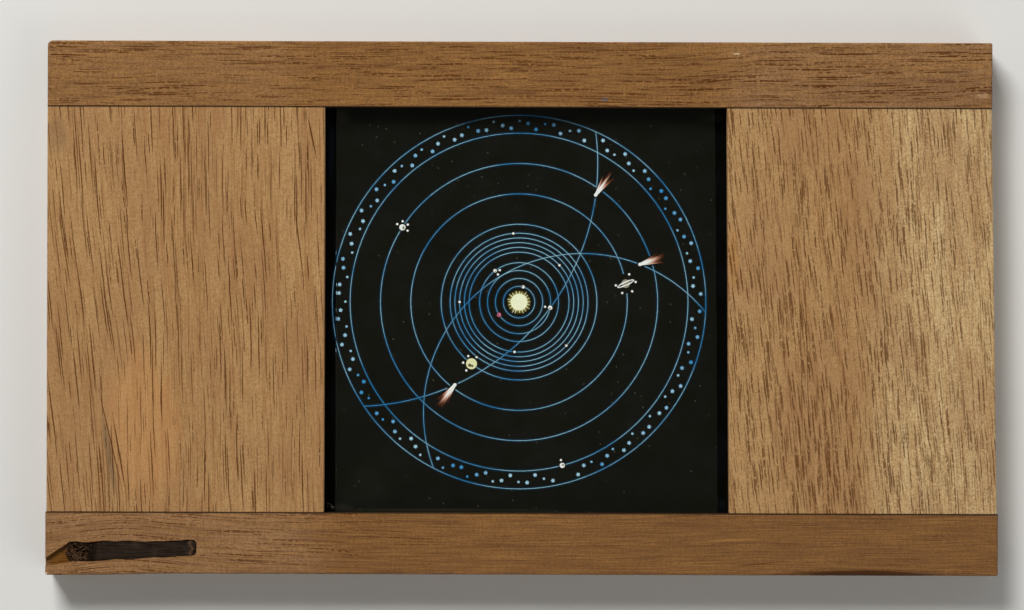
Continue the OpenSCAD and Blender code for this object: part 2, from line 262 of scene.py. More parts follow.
def lay(tree, skin, over, mask, start=0.0, end=1.0, share=1.0):
    """Lays a colour over the skin: none of it where the mask is start, and its full share where it is end."""
    cover = add(tree, "MapRange", {"Value": mask, "From Min": start, "From Max": end, "To Max": share},
                "Result", interpolation_type="SMOOTHSTEP")
    return add(tree, "Mix", {0: cover, 6: skin, 7: over}, 2, data_type="RGBA")


def spot(tree, here, centre, half, turn=0.0, ragged=0.7):
    """How near a point is to the middle of a ragged spot: 1 in the middle and 0 along its edge.

    The centre and the half sizes are in millimetres, and turn is the spot's turn in degrees.
    """
    local = add(tree, "Mapping", {"Vector": here, "Location": centre, "Rotation": (0, 0, math.radians(turn)),
                                  "Scale": half}, 0, vector_type="TEXTURE")
    away = add(tree, "VectorMath", {0: local}, "Value", operation="LENGTH")
    tatters = cloud(tree, local, 0.4, detail=3.0)
    away = add(tree, "Math", {0: tatters, 1: -ragged, 2: away}, 0, operation="MULTIPLY_ADD")
    return add(tree, "Math", {0: 1 - ragged / 2, 1: away}, 0, operation="SUBTRACT")


def edge_distance(tree, here, low, high):
    """How far a point on a block's skin is from the block's nearest edge, in millimetres."""
    centre = (low + high) / 2 / MM
    half = (high - low) / 2 / MM
    local = add(tree, "VectorMath", {0: here, 1: centre}, 0, operation="SUBTRACT")
    local = add(tree, "VectorMath", {0: local}, 0, operation="ABSOLUTE")
    depth = add(tree, "VectorMath", {0: half, 1: local}, 0, operation="SUBTRACT")
    x, y, z = add(tree, "SeparateXYZ", {0: depth}).outputs
    smaller = add(tree, "Math", {0: x, 1: y}, 0, operation="MINIMUM")
    larger = add(tree, "Math", {0: x, 1: y}, 0, operation="MAXIMUM")
    nearer = add(tree, "Math", {0: larger, 1: z}, 0, operation="MINIMUM")
    return add(tree, "Math", {0: smaller, 1: nearer}, 0, operation="MAXIMUM")


def open_pores(tree, place, width, long, area, breaks, swell):
    """Long dark slits where the plane has cut the wood's vessels open: 0 beside them and 1 inside.

    Each is a slim spindle of that width and length along Y, in millimetres, and the surface shows one to
    each area, in square millimetres. breaks is how much of them is interrupted, and swell thickens them.
    """
    slimness = long / width
    cell = (width * area / slimness) ** (1 / 3)
    stretch = (1 / cell, 1 / (cell * slimness), 1 / cell)
    stretched = add(tree, "VectorMath", {0: place, 1: stretch}, 0, operation="MULTIPLY")
    cells = add(tree, "TexVoronoi", {"Vector": stretched, "Scale": 1.0})
    away = add(tree, "Math", {0: cells.outputs["Distance"], 1: swell}, 0, operation="DIVIDE")
    reach = width / 2 / cell
    slit = add(tree, "MapRange", {"Value": away, "From Min": reach, "From Max": reach * 0.7}, "Result")
    own = add(tree, "SeparateColor", {0: cells.outputs["Color"]}, 0)
    own = add(tree, "MapRange", {"Value": own, "To Min": 0.4}, "Result")
    slit = add(tree, "Math", {0: slit, 1: own}, 0, operation="MULTIPLY")
    beads = cloud(tree, place, 0.5, 0.9, 1.0)
    beads = add(tree, "MapRange", {"Value": beads, "From Min": breaks, "From Max": breaks + 0.14}, "Result")
    return add(tree, "Math", {0: slit, 1: beads}, 0, operation="MULTIPLY")


def wood(name, seed, grain, corners, joints, ground, figure, pores, colours, lean, wander=2.0, quiver=0.16,
         bow=None, crowd=(1.3, 0.7), fade=None, ink=0.92, tones=(), marks=()):
    """Planed and waxed hardwood. Lengths are in millimetres, but corners and joints are in metres.

    grain is the axis along the grain, corners are two corners of the wood, and joints are the places in Y
    of its joints. lean is (from X, to X, first, last): how far the grain leans there. figure has a row
    (across, along, colour, share) for each layer of fibres, and pores a row (width, length, area, breaks)
    for each kind of pore. The grain sways by wander and its fibres by quiver, and bow is (where, how far,
    how high) it bends round a knot. crowd is how thick pores are where they are many and where they are
    few, fade is (from X, to X, share) where they grow faint, and ink is how dark they are. tones has rows
    (from X, to X, colour, share), and marks has rows (centre, half size, turn, colour, share).
    """
    material, tree, shader = new_material(name, 0.55, specular=0.25)
    here = in_millimetres(tree)
    here_x, here_y, _ = add(tree, "SeparateXYZ", {0: here}).outputs
    turned = (0, 0, math.pi / 2 if grain == "X" else 0)
    place = add(tree, "Mapping", {"Vector": here, "Rotation": turned}, 0)
    aside, along, deep = add(tree, "SeparateXYZ", {0: place}).outputs
    first_x, last_x, first_lean, last_lean = lean
    slope = add(tree, "MapRange", {"Value": here_x, "From Min": first_x, "From Max": last_x,
                                   "To Min": first_lean, "To Max": last_lean}, "Result")
    aside = add(tree, "Math", {0: along, 1: slope, 2: aside}, 0, operation="MULTIPLY_ADD")
    # The fibres follow a place that is pushed aside by the lean, the sway and the bow of the grain.
    shifted = add(tree, "Mapping", {"Vector": place, "Location": (37.0 * seed, 61.0 * seed, 0)}, 0)
    for across, length_along, sway in ((14, 42, wander), (0.8, 1.6, quiver)):
        swaying = cloud(tree, shifted, across, length_along, 1.0)
        aside = add(tree, "Math", {0: swaying, 1: sway, 2: aside}, 0, operation="MULTIPLY_ADD")
    if bow:
        middle, reach, height = bow
        away = add(tree, "Math", {0: along, 1: 1 / reach, 2: -middle / reach}, 0, operation="MULTIPLY_ADD")
        away = add(tree, "Math", {0: away, 1: away, 2: 1.0}, 0, operation="MULTIPLY_ADD")
        bent = add(tree, "Math", {0: height, 1: away}, 0, operation="DIVIDE")
        aside = add(tree, "Math", {0: aside, 1: bent}, 0, operation="ADD")
    fibre = add(tree, "CombineXYZ", {0: aside, 1: along, 2: deep}, 0)
    fibre = add(tree, "Mapping", {"Vector": fibre, "Location": (53.0 * seed, 29.0 * seed, 0)}, 0)

    skin = ground
    ripple = cloud(tree, fibre, 3.0, 60)
    for start, end, tint, share in tones:
        side = add(tree, "Math", {0: ripple, 1: end - start, 2: here_x}, 0, operation="MULTIPLY_ADD")
        middle = (end - start) / 2
        skin = lay(tree, skin, tint, side, start + middle, end + middle, share)
    faintest, fullest = 0.42, 0.64
    for across, length_along, tint, share in figure:
        fibres = cloud(tree, fibre, across, length_along)
        skin = lay(tree, skin, tint, fibres, faintest, fullest, share)
    for centre, half, turn, tint, share in marks:
        skin = lay(tree, skin, tint, spot(tree, here, centre, half, turn), 0.0, 0.6, share)

    most, least = crowd
    swell = add(tree, "MapRange", {"Value": cloud(tree, fibre, 5, 60), "From Min": 0.35, "From Max": 0.65,
                                   "To Min": most, "To Max": least}, "Result")
    slits = 0.0
    for row in pores:
        slit = open_pores(tree, fibre, *row, swell)
        slits = add(tree, "Math", {0: slits, 1: slit}, 0, operation="MAXIMUM")
    if fade:
        start, end, left = fade
        plenty = add(tree, "MapRange", {"Value": here_x, "From Min": start, "From Max": end,
                                        "To Min": 1.0, "To Max": left}, "Result")
        slits = add(tree, "Math", {0: slits, 1: plenty}, 0, operation="MULTIPLY")
    skin = lay(tree, skin, colours.pore, slits, 0.0, 0.9, ink)

    # End grain is darker.
    facing = add(tree, "SeparateXYZ", {0: add(tree, "TexCoord", output="Normal")}, grain)
    facing = add(tree, "Math", {0: facing}, 0, operation="ABSOLUTE")
    skin = lay(tree, skin, colours.pore, facing, 0.5, 0.95, 0.4)
    # Bare fibres show in patches along a rubbed edge.
    rim = edge_distance(tree, here, *corners)
    rim = add(tree, "Math", {0: cloud(tree, here, 1.1, detail=3.0), 1: 2.2, 2: rim}, 0,
              operation="MULTIPLY_ADD")
    skin = lay(tree, skin, colours.scuff, rim, 0.95, 0.6, 0.35)
    # Each joint holds a thin line of dirt.
    for joint in joints:
        line = add(tree, "Math", {0: here_y, 1: joint / MM}, 0, operation="SUBTRACT")
        line = add(tree, "Math", {0: line}, 0, operation="ABSOLUTE")
        skin = lay(tree, skin, colours.grime, line, 0.24, 0.08, 0.85)

    # The wax has worn unevenly, the pores are dull and sunk, and the fibres stand up a little between them.
    gloss = cloud(tree, fibre, 0.3, 8)
    gloss = add(tree, "MapRange", {"Value": gloss, "To Min": 0.48, "To Max": 0.64}, "Result")
    dull = add(tree, "Math", {0: slits, 1: 0.3, 2: gloss}, 0, operation="MULTIPLY_ADD")
    height = add(tree, "Math", {0: cloud(tree, fibre, 0.18, 5), 1: 0.02}, 0, operation="MULTIPLY")
    height = add(tree, "Math", {0: slits, 1: -0.06, 2: height}, 0, operation="MULTIPLY_ADD")
    relief = add(tree, "Bump", {"Strength": 1.0, "Distance": MM, "Height": height}, "Normal")
    for socket, result in (("Base Color", skin), ("Roughness", dull), ("Normal", relief)):
        tree.links.new(result, shader.inputs[socket])
    return material


def block(bm, low, high):
    """Adds a block between two corners."""
    size = Vector(high) - Vector(low)
    middle = (Vector(high) + Vector(low)) / 2
    bmesh.ops.create_cube(bm, size=1, matrix=Matrix.Translation(middle) @ Matrix.Diagonal((*size, 1)))


def verts_of(parts):
    """The vertices among the parts that a bmesh operator gives back."""
    return [part for part in parts if isinstance(part, bmesh.types.BMVert)]


def bar(bm, section, start, end):
    """Adds a bar along X. Its section is a list of corners, each with its Y and its Z."""
    face = bm.faces.new([bm.verts.new((start, y, z)) for y, z in section])
    grown = bmesh.ops.extrude_face_region(bm, geom=[face])["geom"]
    bmesh.ops.translate(bm, verts=verts_of(grown), vec=(end - start, 0, 0))


def bevel(bm, edges, offset, segments):
    """Rounds edges off."""
    bmesh.ops.bevel(
        bm, geom=edges, offset=offset, segments=segments, profile=0.5, affect="EDGES", material=-1
    )


def thicken(bm, verts, low, high):
    """Makes a flat sheet, drawn at z = 0, a solid between two heights."""
    faces = list({f for v in verts for f in v.link_faces})
    sheet = list({v for f in faces for v in f.verts})
    grown = bmesh.ops.extrude_face_region(bm, geom=faces)["geom"]
    bmesh.ops.translate(bm, verts=verts_of(grown), vec=(0, 0, high))
    bmesh.ops.translate(bm, verts=sheet, vec=(0, 0, low))


def put(bm, verts, turn, place):
    """Turns vertices about the origin, by an angle in degrees, and moves them to a place."""
    bmesh.ops.rotate(bm, verts=verts, matrix=Matrix.Rotation(math.radians(turn), 3, "Z"))
    bmesh.ops.translate(bm, verts=verts, vec=place)


def new_object(name, bm):
    """An object made of a bmesh, with its normals pointing outwards."""
    bmesh.ops.recalc_face_normals(bm, faces=bm.faces)
    mesh = bpy.data.meshes.new(name)
    bm.to_mesh(mesh)
    bm.free()
    made = bpy.data.objects.new(name, mesh)
    bpy.context.scene.collection.objects.link(made)
    return made


def place_piece(name, bm, material, slot, *nodes):
    """Makes a piece of a bmesh. It rides on the frame and stands for CAD nodes."""
    piece = new_object(name, bm)
    piece.data.materials.append(material)
    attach(piece, "root")
    if nodes:
        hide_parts(*nodes)
    return piece


def carve(piece, cutter):
    """Cuts one object out of another, and removes the cutter."""
    modifier = piece.modifiers.new("Carve", "BOOLEAN")
    modifier.operation = "DIFFERENCE"
    modifier.solver = "EXACT"
    modifier.object = cutter
    bpy.context.view_layer.update()
    shown = piece.evaluated_get(bpy.context.evaluated_depsgraph_get())
    carved = bpy.data.meshes.new_from_object(shown)
    piece.modifiers.clear()
    piece.data = carved
    bpy.data.objects.remove(cutter)


def groove_heights(sizes):
    """Lowest and highest point of the groove that the glasses lie in."""
    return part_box("picture_glass")[0].z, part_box("cover_glass")[1].z + sizes.groove_play


def on_skin(edge, low, high):
    """Whether each end of an edge lies in the front or the back face of a block."""
    return all(v.co.z < low.z + TINY or v.co.z > high.z - TINY for v in edge.verts)


def lies_at(edge, axis, place):
    """Whether an edge lies at a place along an axis, which is 0 for X and 1 for Y."""
    return all(abs(v.co[axis] - place) < TINY for v in edge.verts)


def wear_edges(bm, low, high, sizes, seed):
    """Dents the rounded outer edges of a block a little, and never leaves the planes of its faces."""
    middle = (low + high) / 2
    for v in bm.verts:
        inside = [min(v.co[i] - low[i], high[i] - v.co[i]) for i in range(3)]
        near = sorted(range(3), key=lambda i: inside[i])
        if inside[near[1]] > sizes.wear * 1.01:
            continue
        # Broad dents, with deeper chips here and there.
        dent = noise.noise(v.co / (7 * MM) + Vector((seed, 0, 0)))
        chip = noise.noise(v.co / (1.8 * MM) + Vector((0, seed, 0)))
        depth = sizes.dents * (max(0, dent) + 2 * max(0, chip - 0.25))
        for i in near[:2]:
            if inside[i] > TINY:
                v.co[i] += math.copysign(depth, middle[i] - v.co[i])


def rail_mesh(low, high, inner, sizes, seed, knocked=False):
    """A rail between two corners. inner is 1 where the boards lie above it and -1 where they lie below.

    Its outer edges are worn round, its inner edges only broken, and a groove runs along its inner face.
    A knocked rail has a rounder corner at its left end.
    """
    bm = bmesh.new()
    groove = groove_heights(sizes)
    outer_y, inner_y = (low.y, high.y) if inner > 0 else (high.y, low.y)
    floor_y = inner_y - inner * sizes.rail_groove
    bar(bm, [(outer_y, low.z), (inner_y, low.z), (inner_y, groove[0]), (floor_y, groove[0]),
             (floor_y, groove[1]), (inner_y, groove[1]), (inner_y, high.z), (outer_y, high.z)], low.x, high.x)
    if knocked:
        corner = [e for e in bm.edges if lies_at(e, 0, low.x) and lies_at(e, 1, high.y)]
        bevel(bm, corner, sizes.corner_wear, 5)
    # The edges of the groove stay sharp.
    sharp = [e for e in bm.edges if len(e.link_faces) == 2 and e.calc_face_angle() > 0.5]
    outer = [e for e in sharp if abs((e.verts[0].co.y + e.verts[1].co.y) / 2 - inner_y) > TINY
             and (on_skin(e, low, high) or abs(e.verts[0].co.y - inner_y) > high.y - low.y - TINY)]
    bevel(bm, outer, sizes.wear, 3)
    joint = [e for e in bm.edges if on_skin(e, low, high) and lies_at(e, 1, inner_y)]
    bevel(bm, joint, sizes.joint_wear, 1)
    along = [e for e in bm.edges if e.calc_length() > (high.x - low.x) / 2]
    bmesh.ops.subdivide_edges(bm, edges=along, cuts=150, use_grid_fill=False)
    wear_edges(bm, low, high, sizes, seed)
    return bm


def knot_edges(knot, low, x, gap=0.0):
    """Y of the lower and the upper edge of the hollow round the knot at a place along the rail.

    A gap draws both of them in. Left of the hollow they are the edges of the run-out.
    """
    start = low.x + knot.start
    tip_x = start + knot.long - knot.tip / 2
    share = min(1, max(0, (x - start) / (tip_x - start)))
    half = (knot.root * (1 - share) + knot.tip * share) / 2
    middle = low.y + knot.root_up * (1 - share) + knot.tip_up * share
    out = max(0, (start - x) / knot.start)
    half = half * (1 - out) + knot.run_out_width / 2 * out
    middle = middle * (1 - out) + (low.y + knot.run_out_up) * out
    # The corners of the tip are round.
    past = min(1, max(0, (x - tip_x) / (knot.tip / 2)))
    half *= math.sqrt(1 - 0.6 * past ** 6)
    wander = [knot.ragged * noise.noise(Vector((x / (2.4 * MM), side, 5))) for side in (0.5, 9.5)]
    return middle - half + gap + wander[0], middle + half - gap + wander[1]


def hollow_cutter(knot, low, first, last, floor, top):
    """A cutter for a stretch of the hollow or of the run-out."""
    bm = bmesh.new()
    made = bmesh.ops.create_grid(bm, x_segments=60, y_segments=1, size=0.5)["verts"]
    for v in made:
        x = first + (v.co.x + 0.5) * (last - first)
        v.co = (x, knot_edges(knot, low, x)[v.co.y > 0], 0)
    thicken(bm, made, floor, top)
    return new_object("cutter", bm)


class SLIDE_OT_rails(bpy.types.Operator):
    """Builds the two rails, the bottom one with the hollow for the knot"""

    bl_idname = "slide.rails"
    bl_label = "Rails"

    def execute(self, context):
        sizes, knot, colours = context.scene.slide_frame, context.scene.slide_knot, context.scene.slide_wood
        figure = [
            (0.2, 7, colours.rail_dark, 0.5),
            (0.17, 10, colours.rail_pale, 0.7),
            (1.5, 45, colours.rail_dark, 0.25),
            (2.6, 80, colours.rail_pale, 0.25),
            (3.0, 0.3, colours.rail_dark, 0.2),
            (0.3, 0.4, colours.rail_dark, 0.5),
        ]
        even_figure = [
            (0.2, 9, colours.rail_dark, 0.5),
            (0.17, 12, colours.rail_pale, 0.5),
            (1.5, 60, colours.rail_dark, 0.15),
            (3.0, 0.3, colours.rail_dark, 0.2),
            (0.3, 0.4, colours.rail_dark, 0.4),
        ]
        low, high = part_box("top_rail")
        # Mahogany, planed, waxed and dull with age: golden fibres, rough chains of dark open pores, and a
        # little painted sheen in its colours.
        top_wood = wood(
            "mahogany_top_rail", 1, "X", (low - BEHIND_JOINT, high), [low.y], colours.rail, figure,
            [(0.24, 10, 9, 0.34), (0.2, 4, 6, 0.4)], colours, lean=(20, 45, 0.0, 0.02), crowd=(1.35, 0.65),
            tones=[(-38, -48, colours.rail_grey, 0.6), (34, 46, colours.rail_grey, 0.9)],
            marks=[
                ((40.4, 48.3, FRONT), (0.9, 0.14, 1), 0, linear("#E0CCB0"), 0.8),
                ((15.4, 39.6, FRONT), (0.9, 0.6, 1), 0, linear("#5F5F60"), 0.7),
                ((86.8, 40.6, FRONT), (1.5, 0.9, 1), 0, colours.scuff, 0.22),
                ((-51.0, 46.2, FRONT), (5.2, 0.17, 1), 0, colours.pore, 0.8),
            ],
        )
        place_piece("top_rail_wood", rail_mesh(low, high, -1, sizes, 3, knocked=True), top_wood,
                    "rail_wood", "top_rail")

        low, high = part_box("bottom_rail")
        bm = rail_mesh(low, high, 1, sizes, 8)
        # The lower edge is straight at first and then rises over a ramp to where it is planed hollow.
        straight, ramp = 5 * MM, 22 * MM
        for v in bm.verts:
            share = min(1, max(0, (v.co.x - low.x - straight) / ramp))
            rise = sizes.edge_hollow * share * share * (3 - 2 * share)
            v.co.y += rise * (high.y - v.co.y) / (high.y - low.y)
        # The same mahogany, with the same painted sheen, whose grain bends round the knot. Its right half is
        # even and a little browner.
        bottom_wood = wood(
            "mahogany_bottom_rail", 2, "X", (low, high + BEHIND_JOINT), [high.y], colours.rail, even_figure,
            [(0.2, 13, 8, 0.34), (0.18, 5, 6, 0.42)], colours, lean=(20, 45, 0.0, 0.01), wander=1.4,
            bow=(-76, 14, 2.6), crowd=(1.3, 0.6), fade=(-45, -15, 0.5),
            tones=[(-32, -44, colours.rail_grey, 0.9), (-10, 40, colours.rail_dark, 0.15)],
            marks=[
                ((64.5, -50.0, FRONT), (18.0, 1.25, 1.6), 0, linear("#3C210C"), 0.95),
                ((40.2, -43.5, FRONT), (6.5, 0.3, 1), 2, colours.rail_pale, 0.6),
                ((44.9, -48.0, FRONT), (5.7, 0.16, 1), 6, colours.pore, 0.7),
                ((-89.8, -50.2, FRONT), (0.35, 0.3, 0.6), 0, linear("#E8D8C4"), 0.7),
                ((-87.3, -47.6, FRONT - 0.9), (3.6, 3.2, 0.5), 0, linear("#6A4416"), 0.9),
            ],
        )
        rail = place_piece("bottom_rail_wood", bm, bottom_wood, "rail_wood", "bottom_rail")
        start, over = low.x + knot.start, 1 * MM
        carve(rail, hollow_cutter(knot, low, start, start + knot.long, high.z - knot.depth, high.z + over))
        carve(rail, hollow_cutter(knot, low, low.x - over, start + over / 4, high.z - knot.run_out,
                                  high.z + over))
        return {"FINISHED"}


def board_mesh(node, side, sizes, seed):
    """An end board with a tongue at each end, the cutter for its groove, and its corners without tongues.

    side is 1 where the opening lies to the right of the board and -1 where it lies to the left.
    """
    low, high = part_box(node)
    tongue = (high.y - low.y - sizes.board_height) / 2
    low, high = low + Vector((0, tongue, 0)), high - Vector((0, tongue, 0))
    groove = groove_heights(sizes)
    back, front = groove[0] + sizes.tongue_gap, groove[1] - sizes.tongue_gap
    inner_x, outer_x = (high.x, low.x) if side > 0 else (low.x, high.x)
    bm = bmesh.new()
    bar(bm, [(low.y, low.z), (high.y, low.z), (high.y, back), (high.y + tongue, back),
             (high.y + tongue, front), (high.y, front), (high.y, high.z), (low.y, high.z),
             (low.y, front), (low.y - tongue, front), (low.y - tongue, back), (low.y, back)], low.x, high.x)

    for x, radius, segments in ((outer_x, sizes.wear, 3), (inner_x, sizes.opening_wear, 2)):
        upright = [e for e in bm.edges if on_skin(e, low, high) and lies_at(e, 0, x)]
        bevel(bm, upright, radius, segments)
    shoulders = [e for e in bm.edges if len(e.link_faces) == 2 and on_skin(e, low, high)
                 and (lies_at(e, 1, low.y) or lies_at(e, 1, high.y))]
    bevel(bm, shoulders, sizes.joint_wear, 1)
    along = [e for e in bm.edges if abs(e.verts[0].co.y - e.verts[1].co.y) > sizes.board_height / 2]
    bmesh.ops.subdivide_edges(bm, edges=along, cuts=60, use_grid_fill=False)
    wear_edges(bm, low - BEHIND_JOINT, high + BEHIND_JOINT, sizes, seed)

    over = 1 * MM
    floor_x, past_x = sorted((inner_x - side * sizes.board_groove, inner_x + side * over))
    reach = tongue + over
    cutter = bmesh.new()
    block(cutter, (floor_x, low.y - reach, groove[0]), (past_x, high.y + reach, groove[1]))
    return bm, new_object("cutter", cutter), low, high


class SLIDE_OT_end_boards(bpy.types.Operator):
    """Builds the two end boards, whose grain runs from rail to rail"""

    bl_idname = "slide.end_boards"
    bl_label = "End Boards"

    def execute(self, context):
        sizes, colours = context.scene.slide_frame, context.scene.slide_wood
        figure = [
            (0.28, 8, colours.board_dark, 0.4),
            (0.24, 6, colours.board_pale, 0.6),
            (1.8, 50, colours.board_pale, 0.4),
            (11, 26, colours.board_rose, 0.4),
            (2.0, 0.3, colours.board_dark, 0.15),
            (0.3, 0.4, colours.board_dark, 0.5),
        ]
        bm, groove, low, high = board_mesh("left_end_board", 1, sizes, 5)
        # Mahogany again, cut from a paler board: long fine pores, leaning at the left and upright elsewhere.
        left_wood = wood(
            "mahogany_left_board", 3, "Y", (low - BEHIND_JOINT, high + BEHIND_JOINT), [low.y, high.y],
            colours.board, figure, [(0.24, 15, 12, 0.12), (0.2, 6, 9, 0.3)], colours,
            lean=(-88, -62, 0.12, 0.03), wander=3.0, crowd=(1.15, 0.8),
            marks=[
                ((-77.9, -28.0, FRONT), (0.9, 10.5, 2), 10, linear("#6E5A42"), 0.7),
                ((-71.5, -22.0, FRONT), (9.0, 20, 3), 3, linear("#BC8450"), 0.34),
                ((-88.0, 32.5, FRONT), (2.6, 5.0, 3), 0, linear("#6E5640"), 0.35),
                ((-39.8, 32.4, FRONT), (0.2, 5.6, 1), 12, colours.pore, 0.95),
                ((-42.2, 12.4, FRONT), (0.17, 9.4, 1), 7.2, colours.pore, 0.85),
                ((-77.7, -25.0, FRONT), (0.17, 13.6, 1), 13.4, colours.pore, 0.85),
                ((-76.0, -27.7, FRONT), (0.2, 10.4, 1), 9.8, colours.pore, 0.9),
                ((-83.5, 26.7, FRONT), (0.17, 10.8, 1), 4.6, colours.pore, 0.85),
                ((-86.4, 10.4, FRONT), (0.15, 10.0, 1), 9.5, colours.pore, 0.8),
            ],
        )
        board = place_piece("left_end_board_wood", bm, left_wood, "board_wood", "left_end_board")
        carve(board, groove)

        bm, groove, low, high = board_mesh("right_end_board", -1, sizes, 6)
        # Both of its upright edges lean, the one at the opening and the one at the right.
        for v in bm.verts:
            across = (v.co.x - low.x) / (high.x - low.x)
            up = (v.co.y - low.y) / sizes.board_height
            v.co.x += (1 - across) * sizes.opening_flare * min(1, 1 - up)
            v.co.x -= across * (sizes.opening_flare + sizes.board_flare) * max(0, up)
        # A third board of mahogany, with short thick pores, that runs out into pale sapwood at its right.
        right_wood = wood(
            "mahogany_right_board", 4, "Y", (low - BEHIND_JOINT, high + BEHIND_JOINT), [low.y, high.y],
            colours.board, figure, [(0.33, 6, 3.3, 0.28), (0.22, 11, 6.5, 0.32)], colours,
            lean=(38, 90, 0.12, 0.08), quiver=0.24, crowd=(1.15, 0.8), fade=(66, 86, 0.8), ink=0.78,
            tones=[(56, 44, colours.board_pale, 0.7), (62, 74, colours.sapwood, 0.9)],
            marks=[
                ((39.8, 9.8, FRONT), (1.4, 8.0, 3), 0, linear("#B5834A"), 0.45),
                ((52.6, -6.4, FRONT), (0.13, 30.7, 1), 1.4, colours.pore, 0.6),
                ((53.8, -8.0, FRONT), (0.13, 28.0, 1), 1.6, colours.pore, 0.6),
                ((49.6, 27.5, FRONT), (10.4, 0.12, 1), 0, colours.board_dark, 0.6),
            ],
        )
        board = place_piece("right_end_board_wood", bm, right_wood, "board_wood_pale", "right_end_board")
        carve(board, groove)
        return {"FINISHED"}


class SLIDE_OT_knot(bpy.types.Operator):
    """Builds the knot: a strip of dark branch wood with a torn root and a cross-banded tip"""

    bl_idname = "slide.knot"
    bl_label = "Knot"

    def execute(self, context):
        knot, colours = context.scene.slide_knot, context.scene.slide_wood
        low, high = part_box("bottom_rail")
        hollow_start = low.x + knot.start + 2 * knot.gap
        start = hollow_start - knot.fibres
        end = low.x + knot.start + knot.long - knot.gap
        face = high.z - knot.sunk
        # Keeps the knot off the floor of its hollow, and gives its lowest places some thickness.
        clear = 0.02 * MM
        bm = bmesh.new()
        crest = bm.verts.layers.float.new("crest")
        top = bmesh.ops.create_grid(bm, x_segments=260, y_segments=34, size=0.5)["verts"]
        floors = {}
        for v in top:
            side = v.co.y * 2
            frayed = start + knot.fibres * (abs(side) + 0.5 * noise.noise(Vector((side * 6, 0, 4))))
            x = frayed + (v.co.x + 0.5) * (end - frayed)
            lower, upper = knot_edges(knot, low, x, knot.gap)
            y = (lower + upper) / 2 + side * (upper - lower) / 2
            torn = min(1, 2 * max(0, 1 - max(0, x - hollow_start) / knot.torn))
            banded = min(1, 2 * max(0, 1 - (end - x) / knot.banded))
            # Torn strands slant over the root, ridges run along the middle, and bands cross the tip.
            slant = 0.45 + 0.5 * noise.noise(Vector((x / (2 * MM), y / (2 * MM), 2)))
            strand = noise.noise(Vector(((x + slant * y) / (0.42 * MM), (y - slant * x) / (1.8 * MM), 7)))
            strand = min(1, 3 * abs(strand))
            ridge = abs(noise.noise(Vector((x / (6 * MM), y / (0.4 * MM), 1))))
            band = 0.5 + 0.5 * math.cos((end - x) / (0.34 * MM) + 2 * noise.noise(Vector((y / MM, 0, 3))))
            drop = 0.08 * abs(side) ** 6 + 0.12 * ridge + 0.7 * strand * torn + 0.3 * band * banded
            floors[v] = high.z - (knot.run_out if x < hollow_start else knot.depth) + clear
            v.co = (x, y, max(face - drop * MM, floors[v] + clear))
            v[crest] = max((1 - 0.8 * strand) * torn, (1 - band) * banded * 0.6)
        bmesh.ops.extrude_face_region(bm, geom=bm.faces[:])
        for v in top:
            v.co.z = floors[v]

        # Branch wood, torn out and left rough: brown-black, with lighter fibres at its root and tip.
        material, tree, shader = new_material("branch_wood_knot", 0.6, specular=0.15)
        here = in_millimetres(tree)
        turned = add(tree, "Mapping", {"Vector": here, "Rotation": (0, 0, math.pi / 2)}, 0)
        ridges = cloud(tree, turned, 0.3, 4, 4.0)
        skin = lay(tree, colours.knot_dark, colours.knot, ridges, 0.32, 0.62)
        skin = lay(tree, skin, linear("#3A2E26"), cloud(tree, here, 2.0, detail=3.0), 0.5, 0.7, 0.5)
        light = add(tree, "Attribute", output="Fac", attribute_name="crest")
        skin = lay(tree, skin, colours.knot_fibre, light, 0.35, 0.9, 0.9)
        relief = add(tree, "Bump", {"Strength": 0.6, "Distance": 0.1 * MM, "Height": ridges}, "Normal")
        tree.links.new(skin, shader.inputs["Base Color"])
        tree.links.new(relief, shader.inputs["Normal"])
        place_piece("spike_knot_wood", bm, material, "knot_wood", "spike_knot")
        return {"FINISHED"}


def dusty_glass(name, haze, dust, colours):
    """Clear glass under a thin veil of dust.

    haze is the veil's share, and dust has rows (centre, half size, share) for thicker patches of it.
    """
    material, tree, shader = new_material(name, 0.0)
    shader.inputs["Base Color"].default_value = linear("#FCFEFD")
    shader.inputs["Transmission Weight"].default_value = 1.0
    here = in_millimetres(tree)
    share = add(tree, "MapRange", {"Value": cloud(tree, here, 8, detail=5.0), "To Min": haze * 0.6,
                                   "To Max": haze * 1.4}, "Result")
    for centre, half, most in dust:
        near = spot(tree, here, centre, half, 0, 0.9)
        near = add(tree, "MapRange", {"Value": near, "From Max": 0.8, "To Max": most}, "Result")
        share = add(tree, "Math", {0: share, 1: near}, 0, operation="ADD")
    speck_spacing = 2.4
    specks = add(tree, "TexVoronoi", {"Vector": here, "Scale": 1 / speck_spacing}, "Distance")
    specks = add(tree, "MapRange", {"Value": specks, "From Min": 0.07, "From Max": 0.04, "To Max": 0.14},
                 "Result")
    share = add(tree, "Math", {0: share, 1: specks}, 0, operation="ADD", use_clamp=True)
    powder = add(tree, "BsdfDiffuse", {"Color": colours.veil}, 0)
    dusty = add(tree, "MixShader", {0: share, 1: shader.outputs[0], 2: powder}, 0)
    clear = add(tree, "BsdfTransparent", {"Color": linear("#FBFDFC")}, 0)
    shadow = add(tree, "LightPath", output="Is Shadow Ray")
    surface = add(tree, "MixShader", {0: shadow, 1: dusty, 2: clear}, 0)
    output = next(node for node in tree.nodes if node.type == "OUTPUT_MATERIAL")
    tree.links.new(surface, output.inputs["Surface"])
    return material


